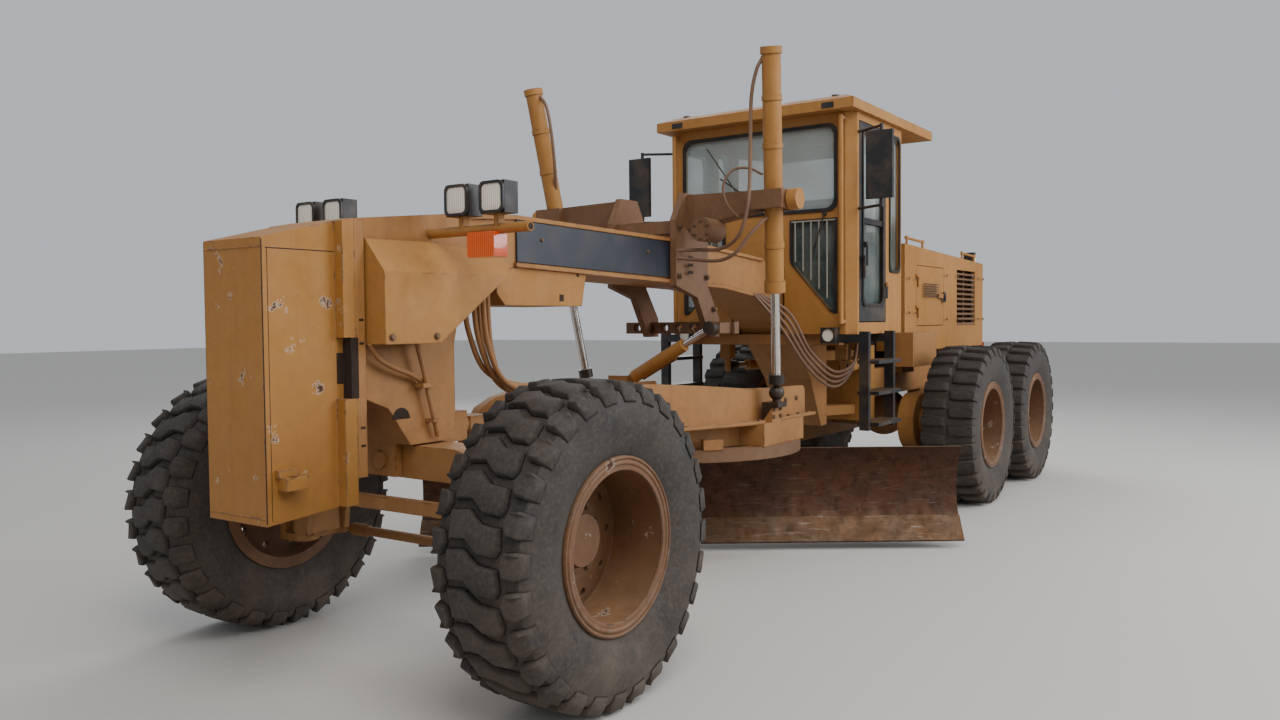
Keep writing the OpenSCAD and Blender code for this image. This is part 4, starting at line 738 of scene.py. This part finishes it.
def make_shaded_recesses():
    """Painted shade of openings and seams: dark thin sheets on the faces that they lie in."""
    form = Form()
    # Where the sheets start and end on the fairing, and where they start on the nose
    fairing, fairing_face, nose = 0.2375, 0.2388, 0.1865
    # Painted shade in the fairing's notch, on its inner side, and on the nose beside it
    notch_foot, notch_top, notch_front = 1.240, 1.490, 4.0835
    form.box((4.048, fairing, notch_foot), (notch_front, fairing_face, notch_top))
    form.box((notch_front, 0.1875, notch_foot), (4.0855, fairing_face, notch_top))
    form.box((4.083, nose, 1.301), (4.118, 0.1882, 1.428))
    # Painted shade in the slots above and below the notch
    for z in (1.562, 1.465, 1.116, 1.041):
        form.box((4.018, fairing, z - 0.005), (4.042, fairing_face, z + 0.005))
    # Painted shade in the seams of the nose: front edge, and the lines along the top and the front
    form.box((4.4555, nose, 0.780), (4.4600, 0.1880, 1.872))
    form.box((4.124, nose, 1.838), (4.440, 0.1876, 1.842))
    form.box((4.4325, nose, 0.785), (4.4350, 0.1876, 1.838))
    # Painted shade in the hole of the valve box, and in the arched hand hole over the axle
    form.box((2.650, 0.1955, 1.655), (2.685, 0.1972, 1.690))
    arch = [(3.79 + a, 1.13 + b) for a, b in circle(16, 0.05)[:9]]
    form.plate(arch, 0.1990, 0.2016)
    # Painted shade in the slots of the saddle's cheek
    for k in range(3):
        z = 1.925 - 0.045 * k
        form.box((1.475, 0.2770, z), (1.530, 0.2792, z + 0.018))
    form.both().made("front_recess_shade", "front_frame", painted_recess_shade)


def make_nose_trim():
    """Upper parts of the tow lugs, and the rounded edges across the nose plate."""
    form = Form()
    for _, side in SIDES:
        y = side * 0.200
        form.box((4.335, y - 0.014, 0.954), (4.420, y + 0.014, 0.984))
    for z in (0.80, 1.845):
        form.rod((4.4595, -0.180, z), (4.4595, 0.180, z), 0.004, 8)
    form.made("nose_trim", "front_frame", nose_paint)


# Lamps from back to front: X, half width, half height, corner radius
BEZEL_STATIONS = (
    (3.639, 0.068, 0.068, 0.026), (3.652, 0.068, 0.068, 0.026), (3.652, 0.056, 0.056, 0.022),
    (3.645, 0.056, 0.056, 0.022),
)
LENS_STATIONS = (
    (3.640, 0.057, 0.057, 0.022), (3.647, 0.057, 0.057, 0.022), (3.650, 0.04, 0.04, 0.016))
AMBER_STATIONS = ((3.565, 0.078, 0.054, 0.012), (3.648, 0.078, 0.054, 0.012))


def make_lamps():
    """Bezels and lenses of the work lamps, amber lenses with their stems."""
    bezels, lenses, ambers = Form(), Form(), Form()
    for _, side in SIDES:
        for y in WORK_LAMP_YS:
            bezels.pad(side * y, WORK_LAMP_Z, BEZEL_STATIONS)
            lenses.pad(side * y, WORK_LAMP_Z, LENS_STATIONS)
    for _, side in SIDES:
        y = side * AMBER_Y
        bezels.rod((3.575, y, 1.945), (3.575, y, 1.90), 0.008, 8)
        ambers.pad(y, AMBER_Z, AMBER_STATIONS)
    bezels.made("lamp_bezels", "front_frame", black_coat)
    lenses.made("lamp_lenses", "front_frame", lamp_glass, 0.9)
    ambers.made("amber_lenses", "front_frame", amber_lens)


def make_saddle_trim():
    """Painted shade in the open ends of the lamps' cross tube; bolts of the lock drums, trunnions
    and cheeks.
    """
    form = Form()
    # Painted shade: dark discs in the open ends of the cross tube
    for _, side in SIDES:
        form.rod((3.600, side * 0.7895, 1.945), (3.600, side * 0.7915, 1.945), 0.015)
    form.made("tube_end_shade", "front_frame", painted_recess_shade)
    form = Form()
    for _, side in SIDES:
        outward = (0, side, 0)
        drum = [(1.650, side * 0.44 + a, 2.09 + b) for a, b in circle(6, 0.052, 0.5)]
        form.bolts(drum, FORWARD, 0.010)
        trunnion = [(1.450 + a, side * 0.958, 2.25 + b) for a, b in circle(6, 0.050, 0.5)]
        form.bolts(trunnion, outward, 0.008)
        cheek = ((1.29, 2.12), (1.61, 2.12), (1.29, 1.82), (1.61, 1.82), (1.20, 1.62), (1.16, 1.49))
        form.bolts([(x, side * 0.270, z) for x, z in cheek], outward, 0.014)
    form.made("saddle_bolts", "front_frame", bolt_steel)


def make_front():
    """Fasteners, recesses, trim and lamps of the front frame."""
    make_front_bolts()
    make_shaded_recesses()
    make_nose_trim()
    make_lamps()
    make_saddle_trim()


# Upright side plate of the drawbar at stations: X, outer side, top, reach of the flange
DRAWBAR_STATIONS = (
    (0.600, 0.620, 1.075, 0.08), (0.625, 0.620, 1.106, 0.08), (1.000, 0.620, 1.112, 0.08),
    (1.400, 0.620, 1.130, 0.07), (1.760, 0.507, 1.165, 0.045), (2.100, 0.399, 1.190, 0.03),
    (2.500, 0.273, 1.180, 0.02), (2.850, 0.163, 1.150, 0.01), (3.020, 0.110, 1.110, 0.0),
    (3.060, 0.097, 1.080, 0.0),
)
# Thickness and foot of the plate; reach inwards, foot and top of the flange
PLATE_THICK, PLATE_FOOT = 0.05, 0.918
FLANGE_INSIDE, FLANGE_FOOT, FLANGE_TOP = 0.12, 0.912, 0.932


def make_drawbar():
    """Upright side plates, their flanges, the fasteners and the pipes of the drawbar."""

    def section(x, y0, y1, z0, z1):
        return [(x, y1, z0), (x, y1, z1), (x, y0, z1), (x, y0, z0)]

    form = Form()
    form.loft([
        section(x, y - PLATE_THICK, y, PLATE_FOOT, top) for x, y, top, reach in DRAWBAR_STATIONS])
    form.loft([
        section(x, y - FLANGE_INSIDE, y + reach, FLANGE_FOOT, FLANGE_TOP)
        for x, y, top, reach in DRAWBAR_STATIONS
    ])
    form.both().made("drawbar_plates", "drawbar", frame_paint, 0.5, 0.004)
    form = Form()
    feet = ((0.68, 0.675), (0.82, 0.675), (0.96, 0.675), (1.10, 0.675), (1.36, 0.672))
    form.bolts([(x, y, FLANGE_TOP) for x, y in feet], UP, 0.011)
    form.bolts([(x, 0.620, 1.03) for x in (0.74, 0.90)], LEFT, 0.013)
    form.bolts([(x, 0.733, z) for x in (1.195, 1.285) for z in (0.955, 1.000)], LEFT, 0.010)
    form.both()
    form.bolts([(1.71 + a, b, 1.040) for a, b in circle(8, 0.085)], UP, 0.010)
    form.made("drawbar_bolts", "drawbar", bolt_steel)
    lines = [
        [(2.60, 0.215, 1.06), (2.20, 0.330, 1.16), (1.80, 0.455, 1.15), (1.45, 0.560, 1.10),
         (1.05, 0.565, 1.09), (0.70, 0.565, 1.00)],
        [(2.60, 0.190, 1.03), (2.20, 0.300, 1.14), (1.80, 0.420, 1.13), (1.45, 0.530, 1.08),
         (1.05, 0.535, 1.07), (0.70, 0.535, 0.99)],
    ]
    tubes("drawbar_hoses", "drawbar", hose_painted, mirrored(lines), 0.013)


# Diameters and numbers of the hoses
DRAWBAR_HOSE, HOSE, THIN_HOSE = 0.026, 0.022, 0.016
DRAWBAR_HOSES, BELLY_HOSES = 5, 4
HOSE_SIDES = 12


def make_hose(name, points, diameter, material, body, crossing=None):
    """A hose with its real length along the points, riding on a body; one that crosses a joint is
    left in place on no body.
    """
    path = eased(points)
    across = (path[1] - path[0]).orthogonal().normalized()
    rings = []
    for i, place in enumerate(path):
        along = (path[min(i + 1, len(path) - 1)] - path[max(i - 1, 0)]).normalized()
        across = (across - along * across.dot(along)).normalized()
        other = along.cross(across)
        ring = circle(HOSE_SIDES, diameter / 2)
        rings.append([place + a * across + b * other for a, b in ring])
    piece = Form().loft(rings).made(name, None, material, 0.9)
    if crossing:
        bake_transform(piece)
    else:
        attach(piece, body)


def make_drawbar_hoses():
    """Five hoses from the fairing's sloping underside to the drawbar."""
    for k in range(DRAWBAR_HOSES):
        x = 3.40 - 0.030 * k
        y = 0.205 + 0.030 * (k % 3)
        drop = 0.022 * k
        underside = 1.460 + (3.690 - x) * 0.694
        points = [
            (x, y, underside), (x - 0.03, y, 1.50 - drop), (x - 0.14, y, 1.315 - drop),
            (3.02 - 0.03 * k, y, 1.235 - drop), (2.72, y, 1.225 - drop), (2.46, y, 1.130 - drop),
            (2.30 - 0.04 * k, y - 0.005, 0.928),
        ]
        make_hose("drawbar_hose_%d" % k, points, DRAWBAR_HOSE, hose_painted, "front_frame",
                  ("drawbar", points[1], points[4]))


def make_lift_hoses():
    """Hoses of the lift cylinders."""
    make_hose("lift_hose_top", [
        (1.625, 0.222, 1.975), (1.570, 0.360, 1.975), (1.560, 0.520, 1.975), (1.590, 0.660, 2.040),
        (1.605, 0.730, 2.200), (1.600, 0.745, 2.400), (1.600, 0.750, 2.620), (1.625, 0.770, 2.830),
        (1.640, 0.810, 2.970), (1.615, 0.840, 3.050),
    ], HOSE, hose_brown, "front_frame",
        ("lift_barrel_left", (1.56, 0.50, 1.98), (1.60, 0.745, 2.40)))
    make_hose("lift_hose_low", [
        (1.625, 0.222, 1.935), (1.570, 0.360, 1.915), (1.570, 0.520, 1.905), (1.585, 0.640, 1.945),
        (1.570, 0.720, 2.040), (1.530, 0.775, 2.115), (1.485, 0.800, 2.150),
    ], HOSE, hose_brown, "front_frame",
        ("lift_barrel_left", (1.57, 0.50, 1.91), (1.55, 0.76, 2.10)))
    make_hose("lift_hose_loop", [
        (1.515, 0.620, 2.160), (1.575, 0.580, 2.230), (1.590, 0.560, 2.340), (1.570, 0.610, 2.430),
        (1.535, 0.700, 2.440), (1.500, 0.775, 2.400),
    ], THIN_HOSE, hose_brown, "front_frame",
        ("lift_barrel_left", (1.58, 0.56, 2.25), (1.53, 0.71, 2.44)))
    make_hose("lift_hose_far", [
        (1.600, -0.835, 3.050), (1.605, -0.775, 2.980), (1.600, -0.740, 2.820),
        (1.570, -0.740, 2.640), (1.530, -0.765, 2.520), (1.495, -0.790, 2.440),
    ], HOSE, hose_brown, "lift_barrel_right")


def make_hoses():
    """Hoses from the beam to the drawbar, at the lift cylinders, the nose and under the cab."""
    make_drawbar_hoses()
    make_lift_hoses()
    make_hose("nose_hose_a", [
        (3.998, 0.250, 1.462), (3.950, 0.248, 1.400), (3.865, 0.245, 1.357), (3.770, 0.240, 1.325),
        (3.690, 0.225, 1.290),
    ], HOSE, hose_painted, "front_frame")
    make_hose("nose_hose_b", [
        (3.741, 0.250, 1.465), (3.700, 0.248, 1.340), (3.665, 0.240, 1.230), (3.630, 0.235, 1.120),
        (3.600, 0.225, 1.040),
    ], HOSE, hose_painted, "front_frame")
    for k in range(BELLY_HOSES):
        y, z = 0.012 * k, 0.035 * k
        make_hose("belly_hose_%d" % k, [
            (0.56 - 0.04 * k, 0.212, 1.73), (0.40 - 0.03 * k, 0.34 + 0.01 * k, 1.50 + 0.03 * k),
            (0.20, 0.44 + y, 1.22 + z), (0.00, 0.515 + y, 1.07 + z), (-0.18, 0.550 + y, 1.07 + z),
            (-0.33 + 0.01 * k, 0.575 + 0.01 * k, 1.18 + 0.02 * k),
            (-0.40 + 0.022 * k, 0.580 + 0.01 * k, 1.357),
        ], HOSE, hose_brown, "front_frame")
    form = Form()
    form.box((3.655, 0.199, 1.262), (3.715, 0.262, 1.282))
    form.box((3.620, 0.199, 1.105), (3.650, 0.250, 1.120))
    form.made("hose_clips", "front_frame", frame_paint)
    pipe = [(1.335, 0.06, 1.30), (1.330, -0.02, 1.262), (1.330, -0.20, 1.165)]
    tubes("shift_pipe", "centre_shift_barrel", frame_paint, [pipe], 0.008)


# Distance of the hood's sides from the middle plane, and size of its bolts
HOOD_SIDE, HOOD_BOLT = 0.490, 0.010
# X and Z of the bolts, behind the side doors and ahead of them
HOOD_BOLT_ROWS = (
    ((-2.86, -3.20, -3.90, -4.08), (1.54, 1.96)),
    ((-1.80, -1.98), (1.30, 1.60, 1.90)),
)
LOUVRES, LOUVRE_STEP, LOUVRE_HEIGHT = 6, 0.022, 0.008
# Tail lens from back to front: X, half width, half height, corner radius
TAIL_STATIONS = ((-4.154, 0.045, 0.03, 0.01), (-4.146, 0.045, 0.03, 0.01))
TAIL_Y, TAIL_Z = 0.44, 1.26


def make_rear():
    """Hood bolts, latches and louvres of the hood doors, tail lenses."""
    form = Form()
    for xs, zs in HOOD_BOLT_ROWS:
        form.bolts([(x, HOOD_SIDE, z) for x in xs for z in zs], LEFT, HOOD_BOLT)
    form.both().made("hood_bolts", "rear_frame", bolt_steel)
    for word, side in SIDES:
        form = Form()
        form.box((-2.80, side * 0.492, 1.70), (-2.74, side * 0.500, 1.80))
        form.rod((-2.77, side * 0.505, 1.775), (-2.77, side * 0.505, 1.715), 0.007, 10)
        for k in range(LOUVRES):
            z = 1.86 - LOUVRE_STEP * k
            form.box((-2.62, side * HOOD_SIDE, z), (-2.20, side * 0.4955, z + LOUVRE_HEIGHT))
        form.made("hood_latch_" + word, "hood_door_" + word, black_coat)
    form = Form()
    for _, side in SIDES:
        form.pad(side * TAIL_Y, TAIL_Z, TAIL_STATIONS)
    form.made("tail_lenses", "rear_frame", red_lens)


# Windscreen: half width, foot, top, corner radius
SCREEN = (0.64, 2.32, 2.94, 0.07)
# Gaskets: reach past the windscreen's opening, thickness and width on the walls
GASKET_LAP = 0.002
GASKET_THICK, GASKET_WIDTH = 0.012, 0.022
GUARD_BARS = 5
# Faces of the cab's walls: front, rear and sides
CAB_FRONT, CAB_REAR, CAB_SIDE = 0.0995, -1.2305, 0.770
# Lower front pane on the left: outline in Y and Z
LOWER_PANE = (
    (0.272, 2.268), (0.272, 1.985), (0.285, 1.950), (0.595, 1.600), (0.625, 1.592), (0.638, 1.610),
    (0.638, 2.240), (0.615, 2.268),
)


def make_window_trim():
    """Gaskets of the fixed panes, and filled corners of the windscreen's opening."""
    form = Form()
    front, back = Vector((CAB_FRONT, 0, 0)), Vector((CAB_REAR, 0, 0))
    half, foot, top, radius = SCREEN
    wide = half + GASKET_LAP
    screen = rounded(-wide, wide, foot - GASKET_LAP, top + GASKET_LAP, radius)
    ring_strip(form, screen, GASKET_THICK, 0.024, front, LEFT, UP, FORWARD)
    rear_pane = rounded(-0.502, 0.502, 2.248, 2.942, 0.06)
    ring_strip(form, rear_pane, GASKET_THICK, GASKET_WIDTH, back, LEFT, UP, -FORWARD)
    for _, side in SIDES:
        pane = [(side * y, z) for y, z in LOWER_PANE]
        ring_strip(form, pane, GASKET_THICK, GASKET_WIDTH, front, LEFT, UP, FORWARD)
        side_pane = rounded(-0.792, -0.563, 1.898, 2.942, 0.05)
        wall = Vector((0, side * CAB_SIDE, 0))
        ring_strip(form, side_pane, 0.010, 0.020, wall, FORWARD, UP, LEFT * side)
    form.made("window_gaskets", "front_frame", gasket_rubber)
    form = Form()
    for z, inward_z in ((foot, 1), (top, -1)):
        for y, inward_y in ((-half, 1), (half, -1)):
            arc = [(y, z)]
            for k in range(7):
                turn = QUARTER_TURN * k / 6
                arc.append((y + inward_y * radius * (1 - math.sin(turn)),
                            z + inward_z * radius * (1 - math.cos(turn))))
            form.loft([[(x, a, b) for a, b in arc] for x in (0.085, 0.0985)])
    form.made("window_corners", "front_frame", body_paint)


def make_door_trim():
    """Gasket, cross bar and handle of each cab door."""
    for word, side in SIDES:
        form = Form()
        wall = Vector((0, side * 0.7695, 0))
        pane = rounded(-0.447, -0.033, 1.638, 2.902, 0.06)
        ring_strip(form, pane, 0.010, GASKET_WIDTH, wall, FORWARD, UP, LEFT * side)
        form.box((-0.447, side * 0.738, 2.235), (-0.033, side * 0.772, 2.275))
        form.made("door_gasket_" + word, "door_" + word, gasket_rubber)
        form = Form()
        grip = side * 0.800
        form.box((-0.075, side * CAB_SIDE, 2.06), (-0.045, grip, 2.10))
        form.rod((-0.06, grip, 2.08), (-0.06, grip, 1.93), 0.009)
        form.made("door_handle_" + word, "door_" + word, black_coat)


def make_guards_and_wipers():
    """Bars over the lower panes, wipers on the upper and lower ones."""
    x, top = 0.118, 2.255
    lines = []
    for k in range(GUARD_BARS):
        y = 0.32 + 0.062 * k
        foot = max(1.62, 1.935 - 0.066 * k) + 0.03
        lines.append([(x, y, foot), (x, y, top)])
    lines.append([(x, 0.29, top), (x, 0.63, top)])
    tubes("guard_bars", "front_frame", bar_grey, mirrored(lines), 0.006, False)
    form = Form()
    form.rod((0.115, 0.10, 2.335), (0.125, 0.10, 2.36), 0.018)
    form.rod((0.125, 0.10, 2.35), (0.122, -0.30, 2.62), 0.006, 8)
    form.rod((0.122, -0.10, 2.42), (0.119, -0.42, 2.86), 0.005, 6)
    for _, side in SIDES:
        form.rod((0.115, side * 0.55, 2.30), (0.130, side * 0.55, 2.30), 0.016)
        form.rod((0.128, side * 0.55, 2.30), (0.124, side * 0.46, 2.02), 0.005, 6)
    form.made("wipers", "front_frame", black_coat)


def make_roof_and_mirrors():
    """Small lamps under the roof's lip, fittings on the roof, drip rails, mirror glasses."""
    form = Form()
    for y in (-0.62, 0.62):
        form.box((0.219, y - 0.045, 3.024), (0.227, y + 0.045, 3.062))
        form.rod((0.08, y, 3.118), (0.08, y, 3.136), 0.03)
    form.rod((-0.3, 0.0, 3.118), (-0.3, 0.0, 3.138), 0.035)
    form.made("roof_fittings", "front_frame", black_coat)
    form = Form()
    for y0, y1 in ((0.800, 0.808), (-0.808, -0.800)):
        form.box((-1.436, y0, 3.012), (0.216, y1, 3.024))
    form.made("drip_rails", "front_frame", body_paint)
    # The glasses face the driver
    form = Form()
    for y in (-0.99, 0.99):
        form.pad(y, 2.6, [(x, 0.085, 0.215, 0.03) for x in (0.1805, 0.1780)])
    form.made("mirror_glasses", "front_frame", mirror_face)


def make_controls():
    """Grip of the steering wheel and two rows of lever knobs."""
    column = Vector((-0.14, 0, 0.18)).normalized()
    across = Vector((0.18, 0, 0.14)).normalized()
    rise, radius = 0.191, 0.191
    centre = Vector((-0.19, 0, 2.15)) + column * rise
    line = [centre + a * across + b * LEFT for a, b in circle(48, radius)]
    line.append(line[0])
    tubes("wheel_grip", "front_frame", seat_vinyl, [line], 0.0145, False)
    form = Form()
    for _, side in SIDES:
        y = side * 0.166
        for k in range(4):
            x = -0.166 + 0.036 * k
            top = 2.28 + 0.01 * k
            form.rod((x, y, top - 0.012), (x, y, top + 0.018), 0.014, 12, 0.011)
    form.made("lever_knobs", "front_frame", black_coat)


def make_cab():
    """Trim of the windows, doors and roof, guard bars, wipers, mirror glasses and controls."""
    make_window_trim()
    make_door_trim()
    make_guards_and_wipers()
    make_roof_and_mirrors()
    make_controls()


# Rings of a cushion from its back to its face: share of the thickness, share of the width
CUSHION_RINGS = ((0.0, 0.93), (0.3, 1.0), (0.7, 1.0), (0.93, 0.94), (1.0, 0.80))
CUSHION_CORNER = 0.05
CUSHION_CROWN = 0.012


def make_seat():
    """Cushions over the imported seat's shape."""
    form = Form()

    def cushion(place, along, out, half_a, half_b, thick):
        rings = []
        for rise, size in CUSHION_RINGS:
            wide, high = half_a * size, half_b * size
            outline = rounded(-wide, wide, -high, high, CUSHION_CORNER * size)
            lift = thick * rise + (CUSHION_CROWN if rise == 1.0 else 0.0)
            rings.append([place + LEFT * a + along * b + out * lift for a, b in outline])
        form.loft(rings)

    lean = Vector((-0.16, 0, 0.98)).normalized()
    front = Vector((0.98, 0, 0.16)).normalized()
    cushion(Vector((-0.72, 0, 1.90)), FORWARD, UP, 0.225, 0.215, 0.10)
    cushion(Vector((-0.972, 0, 2.247)), lean, front, 0.215, 0.26, 0.075)
    form.made("seat_cushions", "front_frame", seat_vinyl, 0.9)


make_camera()
make_stage()
dress_nodes()
make_wheels()
make_front()
make_drawbar()
make_hoses()
make_cab()
make_seat()
make_rear()
